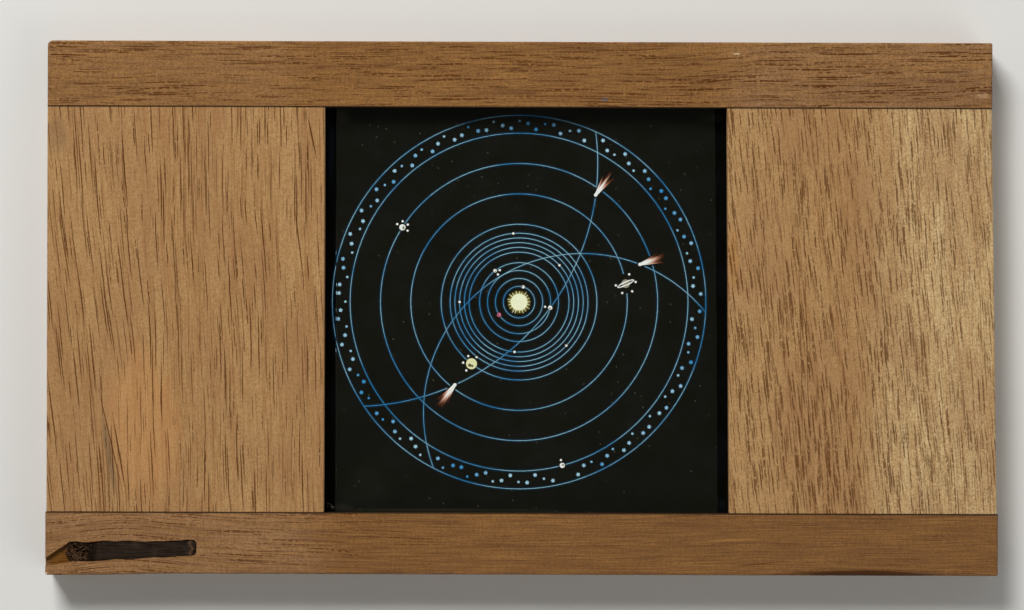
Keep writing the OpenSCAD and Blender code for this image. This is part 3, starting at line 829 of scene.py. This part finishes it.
def pane_mesh(low, high, flare, ease, wave):
    """A pane with ground edges, wider at the bottom by the flare. Its upright edges wander by the wave."""
    bm = bmesh.new()
    block(bm, low, high - Vector((flare, 0, 0)))
    upright = [e for e in bm.edges if abs(e.verts[0].co.y - e.verts[1].co.y) > TINY]
    bmesh.ops.subdivide_edges(bm, edges=upright, cuts=40, use_grid_fill=False)
    right = high.x - flare
    for v in bm.verts:
        if abs(v.co.x - right) < TINY:
            v.co.x += flare * (high.y - v.co.y) / (high.y - low.y)
            v.co.x -= wave * abs(noise.noise(Vector((v.co.y / (6 * MM), 0, 3))))
        else:
            v.co.x += wave * abs(noise.noise(Vector((v.co.y / (9 * MM), 0, 7))))
    bevel(bm, [e for e in bm.edges if e.calc_face_angle() > 1], ease, 1)
    return bm


class SLIDE_OT_glasses(bpy.types.Operator):
    """Builds the picture glass at the back and the cover glass in front of it"""

    bl_idname = "slide.glasses"
    bl_label = "Glasses"

    def execute(self, context):
        sizes, colours = context.scene.slide_frame, context.scene.slide_chart_colours
        low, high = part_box("picture_glass")
        # Thin drawn glass, cut to a standard size. The picture is on its front, so hardly any of it shows.
        plate = dusty_glass("picture_plate_glass", 0.002, [], colours)
        place_piece("picture_glass_pane", pane_mesh(low, high, 0, sizes.glass_ease, 0), plate,
                    "glass", "picture_glass")
        low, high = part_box("cover_glass")
        # Window glass, cut by hand, with a grey veil of dust that lies thicker in its corners.
        corner_dust = [
            ((-34.5, 36.6, COVER_FRONT), (2.2, 1.6, 1.5), 0.03),
            ((-29, -33, COVER_FRONT), (6, 6, 1.5), 0.004),
            ((36, 36.6, COVER_FRONT), (2.6, 1.2, 1.5), 0.02),
            ((-34, -37.6, COVER_FRONT), (3.0, 0.9, 1.5), 0.015),
            ((-15, -38.2, COVER_FRONT), (30, 0.5, 1.5), 0.02),
        ]
        cover = dusty_glass("cover_window_glass", 0.005, corner_dust, colours)
        place_piece("cover_glass_pane", pane_mesh(low, high, sizes.cover_flare, sizes.glass_ease,
                                                  sizes.glass_wave), cover, "glass", "cover_glass")
        return {"FINISHED"}


class SLIDE_OT_film(bpy.types.Operator):
    """Builds the black photographic layer on the front of the picture glass"""

    bl_idname = "slide.film"
    bl_label = "Black Film"

    def execute(self, context):
        sizes, colours = context.scene.slide_frame, context.scene.slide_chart_colours
        low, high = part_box("picture_film")
        bm = pane_mesh(low + Vector((0, 0, sizes.film_gap)), high, 0, 0.005 * MM, 0.1 * MM)
        # Gelatine with dense silver: near black and half glossy, with a few dusty pinholes in it.
        material, tree, shader = new_material("silver_gelatine_film", 0.35, specular=0.05)
        here = in_millimetres(tree)
        skin = lay(tree, colours.film, linear("#0B0C0D"), cloud(tree, here, 5, detail=4.0), 0.3, 0.8)
        speck_spacing = 2.0
        cells = add(tree, "TexVoronoi", {"Vector": here, "Scale": 1 / speck_spacing})
        chosen = add(tree, "SeparateColor", {0: cells.outputs["Color"]}, 0)
        size = add(tree, "MapRange", {"Value": chosen, "From Min": 0.75, "To Max": 0.05}, "Result")
        depth = add(tree, "Math", {0: size, 1: cells.outputs["Distance"]}, 0, operation="SUBTRACT")
        skin = lay(tree, skin, linear("#4A5058"), depth, 0.0, 0.02, 0.8)
        # Beside the cover glass, painted reflections make it a little bluer at the left and paler in the
        # corners at the right.
        for centre, half, tint, share in (
            ((-36.6, 30, FILM_FRONT), (0.9, 12, 2), "#141A20", 0.8),
            ((37, 36.5, FILM_FRONT), (1.8, 1.6, 2), "#3A3B39", 0.6),
            ((38, -37, FILM_FRONT), (1.0, 1.4, 2), "#121517", 0.6),
        ):
            skin = lay(tree, skin, linear(tint), spot(tree, here, centre, half, 0, 0.9), 0.0, 0.8, share)
        tree.links.new(skin, shader.inputs["Base Color"])
        place_piece("picture_film_layer", bm, material, "black_film", "picture_film")
        return {"FINISHED"}


# The chart's layout. Angles are in degrees, and turn left from the picture's right.
INNER_ORBITS, BELT_CIRCLES, OUTER_ORBITS = 4, 5, 4
# Each circle but the last carries a planet, turned by the same angle from the one before.
FIRST_PLANET, PLANET_TURN = 75, 137.5
# Their sizes in planet radii, the number of moons of each, and the three that aren't plain white dabs.
PLANET_SIZES = [0.75, 1, 1.05, 0.85, 0.6, 0.6, 0.6, 0.6, 0.6, 2.6, 2, 1.5, 1.25]
MOONS = [0, 0, 1, 2, 0, 0, 0, 0, 0, 4, 5, 4, 1]
ROSE, LARGEST, RINGED = 1, 9, 10
# A planet's first moon stands on the side towards the sun, and the others turn on from it.
FIRST_MOON, MOON_SPREAD = 180, 60
# Each track's distance from the sun, direction and radius. Its lengths are shares of the band's radius.
TRACKS = [(1.15, 140, 1.3), (0.68, 300, 0.85)]
# Each comet's track, its distance from the sun as a share of the band's inner radius, and its side.
COMETS = [(0, 0.62, 1), (0, 0.78, -1), (1, 0.75, 1)]
# How far the wave on which the stars swing across the band turns from one star to the next.
STAR_TURN = 113


def at(radius, degrees):
    """A point at a distance from the sun in a direction."""
    return Vector((radius * math.cos(math.radians(degrees)), radius * math.sin(math.radians(degrees)), 0))


def orbit_radii(chart):
    """Radii of the circles round the sun, from the first orbit to the outside of the star band."""
    outer_step = (chart.band - chart.band_width - chart.outer_orbit) / (OUTER_ORBITS - 1)
    return (
        [chart.inner_orbit + i * chart.inner_step for i in range(INNER_ORBITS)]
        + [chart.belt + i * chart.belt_step for i in range(BELT_CIRCLES)]
        + [chart.outer_orbit + i * outer_step for i in range(OUTER_ORBITS)]
        + [chart.band]
    )


def planets(chart):
    """Each planet's number, place and radius, and the places of its moons."""
    rows = []
    for i, size in enumerate(PLANET_SIZES):
        angle = FIRST_PLANET + i * PLANET_TURN
        place = at(orbit_radii(chart)[i], angle)
        radius = size * chart.planet
        reach = radius + chart.moon_gap * (2 if i == RINGED else 1)
        moons = [place + at(reach, angle + FIRST_MOON + m * MOON_SPREAD) for m in range(MOONS[i])]
        rows.append((i, place, radius, moons))
    return rows


def track(chart, number):
    """A comet's track: its distance and direction from the sun, and its radius."""
    away, direction, radius = TRACKS[number]
    return away * chart.band, direction, radius * chart.band


def crossing(chart, number, radius, side):
    """The direction in which a track crosses a circle round the sun."""
    away, direction, own = track(chart, number)
    share = (radius ** 2 + away ** 2 - own ** 2) / (2 * radius * away)
    return direction + side * math.degrees(math.acos(share))


def comets(chart):
    """The place of each comet, and the direction of its tail, away from the sun."""
    inner_band = chart.band - chart.band_width
    for number, share, side in COMETS:
        angle = crossing(chart, number, share * inner_band, side)
        yield at(share * inner_band, angle), angle


def bodies(chart):
    """Discs that the blue lines stay clear of."""
    discs = [(Vector((0, 0, 0)), chart.sun_ray)]
    for i, place, radius, moons in planets(chart):
        discs.append((place, chart.ring if i == RINGED else radius))
        discs += [(moon, chart.moon) for moon in moons]
    for head, angle in comets(chart):
        discs.append((head, chart.comet))
        steps = 8
        for step in range(1, steps + 1):
            share = step / steps
            width = chart.comet * (1 - share) + chart.tail_width / 2 * share
            discs.append((head + at(chart.tail * share - width * share, angle), width))
    return [(place, radius + chart.body_gap) for place, radius in discs]


def clear_runs(centre, radius, start, end, discs):
    """Stretches of an arc, in degrees, that no disc covers."""
    runs, run = [], None
    step = 0.25
    count = round((end - start) / step)
    for k in range(count + 1):
        angle = start + (end - start) * k / count
        point = centre + at(radius, angle)
        if all((point - place).length > reach for place, reach in discs):
            run = (run[0], angle) if run else (angle, angle)
        elif run:
            runs.append(run)
            run = None
    return runs + ([run] if run else [])


def soft_line(whole, centre, radius, start, end, width, low, high):
    """Adds a line along an arc. Its layer fade is 1 along its raised middle and 0 along its sides."""
    bm = bmesh.new()
    fade = bm.verts.layers.float.new("fade")
    # Shares of the line's half width, its fade and shares of its height, from the middle down to the back.
    half_profile = [(0.07, 1, 1), (0.15, 0.3, 0.78), (1, 0, 0.62), (1, 0, 0)]
    profile = half_profile + [(-across, strength, rise) for across, strength, rise in reversed(half_profile)]
    ring = []
    for across, strength, rise in profile:
        place = at(radius + across * width / 2, start) + Vector((0, 0, low + rise * (high - low)))
        ring.append(bm.verts.new(centre + place))
        ring[-1][fade] = strength
    edges = [bm.edges.new((ring[k - 1], ring[k])) for k in range(len(ring))]
    full = end - start > 359.9
    # Each step of the spin is about half a millimetre of the line.
    steps = max(3, round((end - start) * radius / (30 * MM)))
    bmesh.ops.spin(
        bm, geom=ring + edges, cent=centre, axis=(0, 0, 1), angle=math.radians(end - start), steps=steps,
        use_merge=full,
    )
    if not full:
        bmesh.ops.holes_fill(bm, edges=[e for e in bm.edges if e.is_boundary])
    mesh = bpy.data.meshes.new("line")
    bm.to_mesh(mesh)
    bm.free()
    whole.from_mesh(mesh)
    bpy.data.meshes.remove(mesh)


def dye(name, halo, deep, pale, film):
    """Dye washed over clear lines in the film: a stroke that is pale where the dye is thin, inside a soft
    halo.
    """
    material, tree, shader = new_material(name, 0.4, specular=0.1)
    here = in_millimetres(tree)
    # From the film at the soft edge, through the halo, to the stroke in the middle.
    fade = add(tree, "Attribute", output="Fac", attribute_name="fade")
    stroke = lay(tree, deep, pale, cloud(tree, here, 9, detail=4.0), 0.36, 0.6)
    # Round the blue lines and stars the halo is painted glow.
    skin = lay(tree, film, halo, fade, 0.0, 0.3)
    tree.links.new(lay(tree, skin, stroke, fade, 0.33, 0.9), shader.inputs["Base Color"])
    return material


def tint_heights(sizes):
    """The back and the front of the tints, which run through the film."""
    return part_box("picture_glass")[1].z + sizes.film_gap / 4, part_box("orbit_tints")[1].z


def picture_middle():
    """The sun, in the middle of the chart."""
    low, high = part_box("sun_tint")
    return Vector(((low.x + high.x) / 2, (low.y + high.y) / 2, 0))


class SLIDE_OT_orbits(bpy.types.Operator):
    """Builds the blue circles and the comets' tracks"""

    bl_idname = "slide.orbits"
    bl_label = "Orbits"

    def execute(self, context):
        chart, colours = context.scene.slide_chart, context.scene.slide_chart_colours
        low, high = tint_heights(context.scene.slide_frame)
        discs = bodies(chart)
        arcs = [(Vector((0, 0, 0)), radius, 0, 360) for radius in orbit_radii(chart)]
        for number in range(len(TRACKS)):
            away, direction, radius = track(chart, number)
            share = (away ** 2 + radius ** 2 - chart.band ** 2) / (2 * away * radius)
            spread = math.degrees(math.acos(share))
            arcs.append((at(away, direction), radius, direction + 180 - spread, direction + 180 + spread))
        bm = bmesh.new()
        bm.verts.layers.float.new("fade")
        for number, (centre, radius, start, end) in enumerate(arcs):
            # Each line lies a hair deeper than the last, so no faces coincide where two lines cross.
            sunk = 0.0004 * MM * number
            runs = clear_runs(centre, radius, start, end, discs)
            if len(runs) > 1 and end - start == 360 and runs[0][0] == start and runs[-1][1] == end:
                runs = runs[1:-1] + [(runs[-1][0] - 360, runs[0][1])]
            for first, last in runs:
                soft_line(bm, centre, radius, first, last, chart.line, low, high - sunk)
        bmesh.ops.translate(bm, verts=bm.verts, vec=picture_middle())
        # Blue dye on clear lines in gelatine: a fine pale line inside a navy halo of painted glow.
        material = dye("blue_dye_lines", colours.blue_glow, colours.blue, colours.blue_pale, colours.film)
        place_piece("orbit_tint_lines", bm, material, "blue_tint", "orbit_tints")
        return {"FINISHED"}


def soft_star(bm, fade, place, points, tip, waist, halo, turn, low, high):
    """Adds a star with a soft edge round it. tip and halo are radii, and waist is a share of the tip's."""
    made = bmesh.ops.create_circle(bm, cap_ends=True, cap_tris=True, segments=2 * points, radius=tip)["verts"]
    rim = sorted((v for v in made if v.co.length > tip / 2), key=lambda v: math.atan2(v.co.y, v.co.x))
    for v in made:
        v[fade] = 1.0
    for v in rim[1::2]:
        v.co *= waist
    edges = list({e for v in rim for e in v.link_edges if e.is_boundary})
    outer = verts_of(bmesh.ops.extrude_edge_only(bm, edges=edges)["geom"])
    for v in outer:
        v.co = v.co.normalized() * halo
        v[fade] = 0.0
    made += outer
    put(bm, made, turn, place)
    thicken(bm, made, low, high)


class SLIDE_OT_stars(bpy.types.Operator):
    """Builds the stars, which swing in and out across the band"""

    bl_idname = "slide.stars"
    bl_label = "Stars"

    def execute(self, context):
        chart, colours = context.scene.slide_chart, context.scene.slide_chart_colours
        low, high = tint_heights(context.scene.slide_frame)
        cad_line, clear = 0.3 * MM, 0.3 * MM
        swing = (chart.band_width - cad_line) / 2 - chart.star - clear
        bm = bmesh.new()
        fade = bm.verts.layers.float.new("fade")
        for k in range(chart.stars):
            angle = 360 * k / chart.stars
            radius = chart.band - chart.band_width / 2 + swing * math.sin(math.radians(STAR_TURN * k))
            # The band stays clear round the last planet and where the tracks cross it, by some degrees.
            ways = [FIRST_PLANET + PLANET_TURN * (len(PLANET_SIZES) - 1)]
            ways += [crossing(chart, t, radius, side) for t in range(len(TRACKS)) for side in (-1, 1)]
            room = 1.6
            if min(math.degrees(math.acos(math.cos(math.radians(angle - way)))) for way in ways) < room:
                continue
            size = chart.star * (0.6 if k % 3 == 0 else 0.9)
            points, waist, halo = 5, 0.4, size * 1.2
            soft_star(bm, fade, at(radius, angle), points, size, waist, halo, angle, low, high - 0.01 * MM)
        bmesh.ops.translate(bm, verts=bm.verts, vec=picture_middle())
        # The same blue dye, in dabs: pale blue stars in a navy halo of painted glow.
        material = dye("blue_dye_stars", colours.blue_glow, colours.blue, colours.star_blue, colours.film)
        place_piece("star_tint_spots", bm, material, "star_tint", "star_tints")
        return {"FINISHED"}


class SLIDE_OT_sun(bpy.types.Operator):
    """Builds the sun: a pale disc with fine rays and a yellow wash between them"""

    bl_idname = "slide.sun"
    bl_label = "Sun"

    def execute(self, context):
        chart, colours = context.scene.slide_chart, context.scene.slide_chart_colours
        low, high = tint_heights(context.scene.slide_frame)
        draw = random.Random(5)
        bm = bmesh.new()
        fade = bm.verts.layers.float.new("fade")
        # The wash is a round star: its waist is as wide as its tips.
        soft_star(bm, fade, Vector((0, 0, 0)), chart.sun_rays, chart.sun * 1.05, 1.0, chart.sun_ray * 0.96, 0,
                  low, high - 0.02 * MM)
        wash = 0.32
        for v in bm.verts:
            v[fade] *= wash
        for k in range(chart.sun_rays):
            # Each ray begins inside the disc and tapers, and no two are quite alike.
            made = bmesh.ops.create_grid(bm, x_segments=4, y_segments=1, size=0.5)["verts"]
            reach = chart.sun_ray - draw.uniform(0, 0.35) * MM
            for v in made:
                along, side = v.co.x + 0.5, v.co.y * 2
                v[fade] = 1.0
                half_width = (0.1 - 0.07 * along) * MM
                v.co.x = (chart.sun - 0.3 * MM) * (1 - along) + reach * along
                v.co.y = side * half_width
            turn = math.tau * (k + draw.uniform(-0.2, 0.2)) / chart.sun_rays
            bmesh.ops.rotate(bm, verts=made, matrix=Matrix.Rotation(turn, 3, "Z"))
            thicken(bm, made, low, high - 0.01 * MM)
        made = bmesh.ops.create_circle(bm, cap_ends=True, segments=64, radius=chart.sun)["verts"]
        for v in made:
            v[fade] = 1.0
        thicken(bm, made, low, high)
        bmesh.ops.translate(bm, verts=bm.verts, vec=picture_middle())
        # Yellow dye: almost cream on the disc and the rays, and dark yellow in the wash round them.
        material = dye("yellow_dye_sun", colours.sun_glow, colours.sun_deep, colours.sun, colours.film)
        place_piece("sun_tint_disc", bm, material, "yellow_tint", "sun_tint")
        return {"FINISHED"}


def body_colour(name):
    """Opaque water colour, dabbed on by brush: each dab has its own tint and is thinner in places."""
    material, tree, shader = new_material(name, 0.5, specular=0.2)
    here = in_millimetres(tree)
    tint = add(tree, "Attribute", output="Color", attribute_name="tint")
    skin = lay(tree, tint, linear("#57513E"), cloud(tree, here, 0.4, detail=3.0), 0.56, 0.74, 0.15)
    tree.links.new(skin, shader.inputs["Base Color"])
    return material


def dab(bm, tint, paint, place, radius, low, high):
    """Adds a thin round dab of paint."""
    made = bmesh.ops.create_circle(bm, cap_ends=True, segments=24, radius=radius)["verts"]
    for v in made:
        v[tint] = paint
    bmesh.ops.translate(bm, verts=made, vec=place)
    thicken(bm, made, low, high)


class SLIDE_OT_planets(bpy.types.Operator):
    """Builds the planets and their moons, one of them with a ring"""

    bl_idname = "slide.planets"
    bl_label = "Planets"

    def execute(self, context):
        chart, colours = context.scene.slide_chart, context.scene.slide_chart_colours
        low, high = tint_heights(context.scene.slide_frame)
        own = {ROSE: colours.rose, LARGEST: colours.straw, RINGED: colours.beige}
        # Each coat of paint lies this much higher than the one that it covers.
        coat = 0.004 * MM
        bm = bmesh.new()
        tint = bm.verts.layers.float_color.new("tint")
        for i, place, radius, moons in planets(chart):
            dab(bm, tint, own.get(i, colours.white), place, radius, low, high - 2 * coat)
            # Two small dark strokes, but none on the small planets of the belt.
            if radius > chart.planet * 0.7:
                for turn, share in ((130, 0.3), (200, 0.22)):
                    dab(bm, tint, colours.shade, place + at(radius * 0.42, turn + 50 * i), radius * share,
                        low, high - coat)
            for moon in moons:
                dab(bm, tint, colours.white, moon, chart.moon, low, high)
            if i == RINGED:
                loops = []
                for inset in (chart.ring_width, 0):
                    made = bmesh.ops.create_circle(bm, segments=48, radius=1)["verts"]
                    bmesh.ops.scale(bm, verts=made, vec=(chart.ring - inset, chart.ring_rise - inset, 1))
                    loops += made
                bmesh.ops.bridge_loops(bm, edges=list({e for v in loops for e in v.link_edges}))
                for v in loops:
                    v[tint] = colours.white
                ring_turn = 24
                put(bm, loops, ring_turn, place)
                thicken(bm, loops, low, high)
        bmesh.ops.translate(bm, verts=bm.verts, vec=picture_middle())
        # Body colour: white, rose, straw and beige dabs, with small dark strokes on the larger ones.
        place_piece("planet_tint_dabs", bm, body_colour("body_colour_planets"), "pale_tint", "planet_tints")
        return {"FINISHED"}


class SLIDE_OT_comets(bpy.types.Operator):
    """Builds the comets: strokes of a fine brush, white at the head and reddish at their ends"""

    bl_idname = "slide.comets"
    bl_label = "Comets"

    def execute(self, context):
        chart, colours = context.scene.slide_chart, context.scene.slide_chart_colours
        low, high = tint_heights(context.scene.slide_frame)
        draw = random.Random(7)
        white, rose, end = (Vector(c) for c in (colours.white, colours.tail_rose, colours.tail_end))
        strokes = 7
        outside_first = sorted(range(strokes), key=lambda s: -abs(s - (strokes - 1) / 2))
        spread = chart.tail_width / 2 - 0.1 * MM
        coat = 0.002 * MM
        bm = bmesh.new()
        tint = bm.verts.layers.float_color.new("tint")
        for head, angle in comets(chart):
            for rank, s in enumerate(outside_first):
                lean = s / (strokes - 1) * 2 - 1
                reach = chart.tail * (1 - 0.15 * abs(lean) - 0.3 * draw.random())
                turning = 0.3 + 0.25 * draw.random() - 0.12 * abs(lean)
                # Each stroke tapers, leans outwards, and turns from white through rose to reddish brown.
                made = bmesh.ops.create_grid(bm, x_segments=10, y_segments=1, size=0.5)["verts"]
                for v in made:
                    along, side = v.co.x + 0.5, v.co.y * 2
                    half_width = (0.25 - 0.22 * along) * MM
                    v.co = Vector((along * reach, lean * spread * along ** 1.1 + side * half_width, 0))
                    share = min(1, max(0, (along - turning) / 0.5)) * 2
                    v[tint] = white.lerp(rose, share) if share < 1 else rose.lerp(end, share - 1)
                put(bm, made, angle, head)
                thicken(bm, made, low, high - (strokes - rank) * coat)
            dab(bm, tint, colours.white, head, chart.comet * 0.8, low, high)
        bmesh.ops.translate(bm, verts=bm.verts, vec=picture_middle())
        # Body colour again, drawn out with a nearly dry brush: white, then salmon, then reddish brown.
        place_piece("comet_tint_strokes", bm, body_colour("body_colour_comets"), "comet_tint", "comet_tints")
        return {"FINISHED"}


class SLIDE_OT_spacers(bpy.types.Operator):
    """Gives the spacers their paper. They keep their own solids"""

    bl_idname = "slide.spacers"
    bl_label = "Spacers"

    def execute(self, context):
        colours = context.scene.slide_chart_colours
        # Black paper: matt and fibrous, and a little brown with age.
        material, tree, shader = new_material("black_paper", 0.85)
        here = in_millimetres(tree)
        fibres = cloud(tree, here, 0.33, detail=5.0)
        skin = lay(tree, colours.paper, linear("#3A3731"), fibres, 0.4, 0.7)
        relief = add(tree, "Bump", {"Strength": 0.5, "Distance": 0.03 * MM, "Height": fibres}, "Normal")
        tree.links.new(skin, shader.inputs["Base Color"])
        tree.links.new(relief, shader.inputs["Normal"])
        for node in ("top_spacer", "bottom_spacer"):
            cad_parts[node].data.materials.clear()
            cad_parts[node].data.materials.append(material)
        return {"FINISHED"}


class SLIDE_OT_crumbs(bpy.types.Operator):
    """Builds the crumbs in the lower left corner of the opening"""

    bl_idname = "slide.crumbs"
    bl_label = "Crumbs"

    def execute(self, context):
        colours = context.scene.slide_chart_colours
        # Crumbs of old putty and dust: brownish grey and powdery.
        material, tree, shader = new_material("putty_crumbs", 0.9, specular=0.2)
        here = in_millimetres(tree)
        skin = lay(tree, colours.dust, linear("#5C544F"), cloud(tree, here, 0.25, detail=3.0), 0.4, 0.7)
        tree.links.new(skin, shader.inputs["Base Color"])
        draw = random.Random(11)
        film_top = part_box("picture_film")[1].z
        # None of them lies close enough to the cover glass to touch it.
        last_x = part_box("cover_glass")[0].x - 0.25 * MM
        crumbs = 16
        bm = bmesh.new()
        for _ in range(crumbs):
            # They lie scattered on the film, along a short line that slants down to the cover glass.
            share = draw.random()
            x = (-36.9 + 1.3 * share + 0.35 * draw.uniform(-1, 1)) * MM
            y = (-37.2 - 0.9 * share + 0.3 * draw.uniform(-1, 1)) * MM
            size = draw.uniform(0.08, 0.2) * MM
            if x > last_x:
                continue
            # Each is knobbly, and flatter than it is wide.
            made = bmesh.ops.create_icosphere(bm, subdivisions=1, radius=size)["verts"]
            for v in made:
                v.co *= 1 + 0.35 * noise.noise(v.co / size * 1.7 + Vector((x / MM * 9, 0, 0)))
                v.co.z *= 0.5
            lift = -min(v.co.z for v in made)
            bmesh.ops.translate(bm, verts=made, vec=(x, y, film_top + lift))
        place_piece("corner_crumbs", bm, material, "comet_tint")
        return {"FINISHED"}


def area_lamp(name, place, size, power):
    """A soft square lamp aimed at the slide. It lights things, but isn't mirrored or seen through glass."""
    lamp = bpy.data.lights.new(name, "AREA")
    lamp.size, lamp.energy = size, power
    held = bpy.data.objects.new(name, lamp)
    held.visible_glossy = held.visible_transmission = False
    held.location = place
    held.rotation_euler = (-Vector(place)).to_track_quat("-Z", "Y").to_euler()
    bpy.context.scene.collection.objects.link(held)


class SLIDE_OT_stage(bpy.types.Operator):
    """Sets up a pale floor, two soft lamps, a sky that is dark overhead, and the camera"""

    bl_idname = "slide.stage"
    bl_label = "Stage and Camera"

    def execute(self, context):
        scene = context.scene
        bm = bmesh.new()
        bmesh.ops.create_circle(bm, cap_ends=True, segments=96, radius=3)
        floor = new_object("floor", bm)
        material, tree, shader = new_material("pale_paper_floor", 0.9)
        shader.inputs["Base Color"].default_value = linear("#D9D8D4")
        floor.data.materials.append(material)

        # The glasses mirror what is straight above them, so the sky is dark there and pale round its rim.
        scene.world = bpy.data.worlds.new("studio")
        scene.world.use_nodes = True
        tree = scene.world.node_tree
        tree.nodes.clear()
        up = add(tree, "SeparateXYZ", {0: add(tree, "TexCoord", output="Generated")}, "Z")
        sky = lay(tree, linear("#EDEDEB"), linear("#272724"), up, 0.15, 0.75)
        background = add(tree, "Background", {"Color": sky})
        add(tree, "OutputWorld", {"Surface": background.outputs[0]})
        area_lamp("key", (-0.35, 0.75, 0.85), 0.45, 14.5)
        area_lamp("fill", (0.7, -0.5, 0.8), 0.7, 2.5)

        # The camera looks straight down from above the opening, and the slide lies a little askew under it.
        lens_height, view_width, view_turn = 0.7, 0.1934, 0.17
        camera = bpy.data.cameras.new("camera")
        camera.sensor_width = 36
        camera.lens = camera.sensor_width * lens_height / view_width
        camera.clip_start = 0.01
        held = bpy.data.objects.new("camera", camera)
        scene.collection.objects.link(held)
        held.location = (-1.94 * MM, 0.75 * MM, CAD_BOX[1].z + lens_height)
        held.rotation_euler = (0, 0, math.radians(view_turn))
        scene.camera = held
        scene.view_settings.view_transform = "Standard"
        return {"FINISHED"}


class SLIDE_PT_panel(bpy.types.Panel):
    """Lists the sizes, the colours and the pieces of the slide"""

    bl_idname = "SLIDE_PT_panel"
    bl_label = "Magic Lantern Slide"
    bl_space_type = "VIEW_3D"
    bl_region_type = "UI"
    bl_category = "Slide"

    def draw(self, context):
        for group in PROPERTY_GROUPS:
            box = self.layout.box()
            settings = getattr(context.scene, group)
            for name in settings.__annotations__:
                box.prop(settings, name)
        for made in OPERATORS:
            self.layout.operator(made.bl_idname)


PROPERTY_GROUPS = {
    "slide_frame": FrameSizes,
    "slide_knot": KnotSizes,
    "slide_chart": ChartSizes,
    "slide_wood": WoodColours,
    "slide_chart_colours": ChartColours,
}
OPERATORS = [
    SLIDE_OT_stage,
    SLIDE_OT_rails,
    SLIDE_OT_end_boards,
    SLIDE_OT_knot,
    SLIDE_OT_glasses,
    SLIDE_OT_film,
    SLIDE_OT_orbits,
    SLIDE_OT_stars,
    SLIDE_OT_sun,
    SLIDE_OT_planets,
    SLIDE_OT_comets,
    SLIDE_OT_spacers,
    SLIDE_OT_crumbs,
]


def register():
    """Registers the sizes, the colours, the operators and the panel."""
    for name, group in PROPERTY_GROUPS.items():
        bpy.utils.register_class(group)
        setattr(bpy.types.Scene, name, PointerProperty(type=group))
    for made in (*OPERATORS, SLIDE_PT_panel):
        bpy.utils.register_class(made)


def unregister():
    """Takes them away again."""
    for made in (*OPERATORS, SLIDE_PT_panel):
        bpy.utils.unregister_class(made)
    for name, group in PROPERTY_GROUPS.items():
        delattr(bpy.types.Scene, name)
        bpy.utils.unregister_class(group)


def main():
    """Builds everything."""
    register()
    for made in OPERATORS:
        getattr(bpy.ops.slide, made.bl_idname.removeprefix("slide."))()


if __name__ == "__main__":
    main()
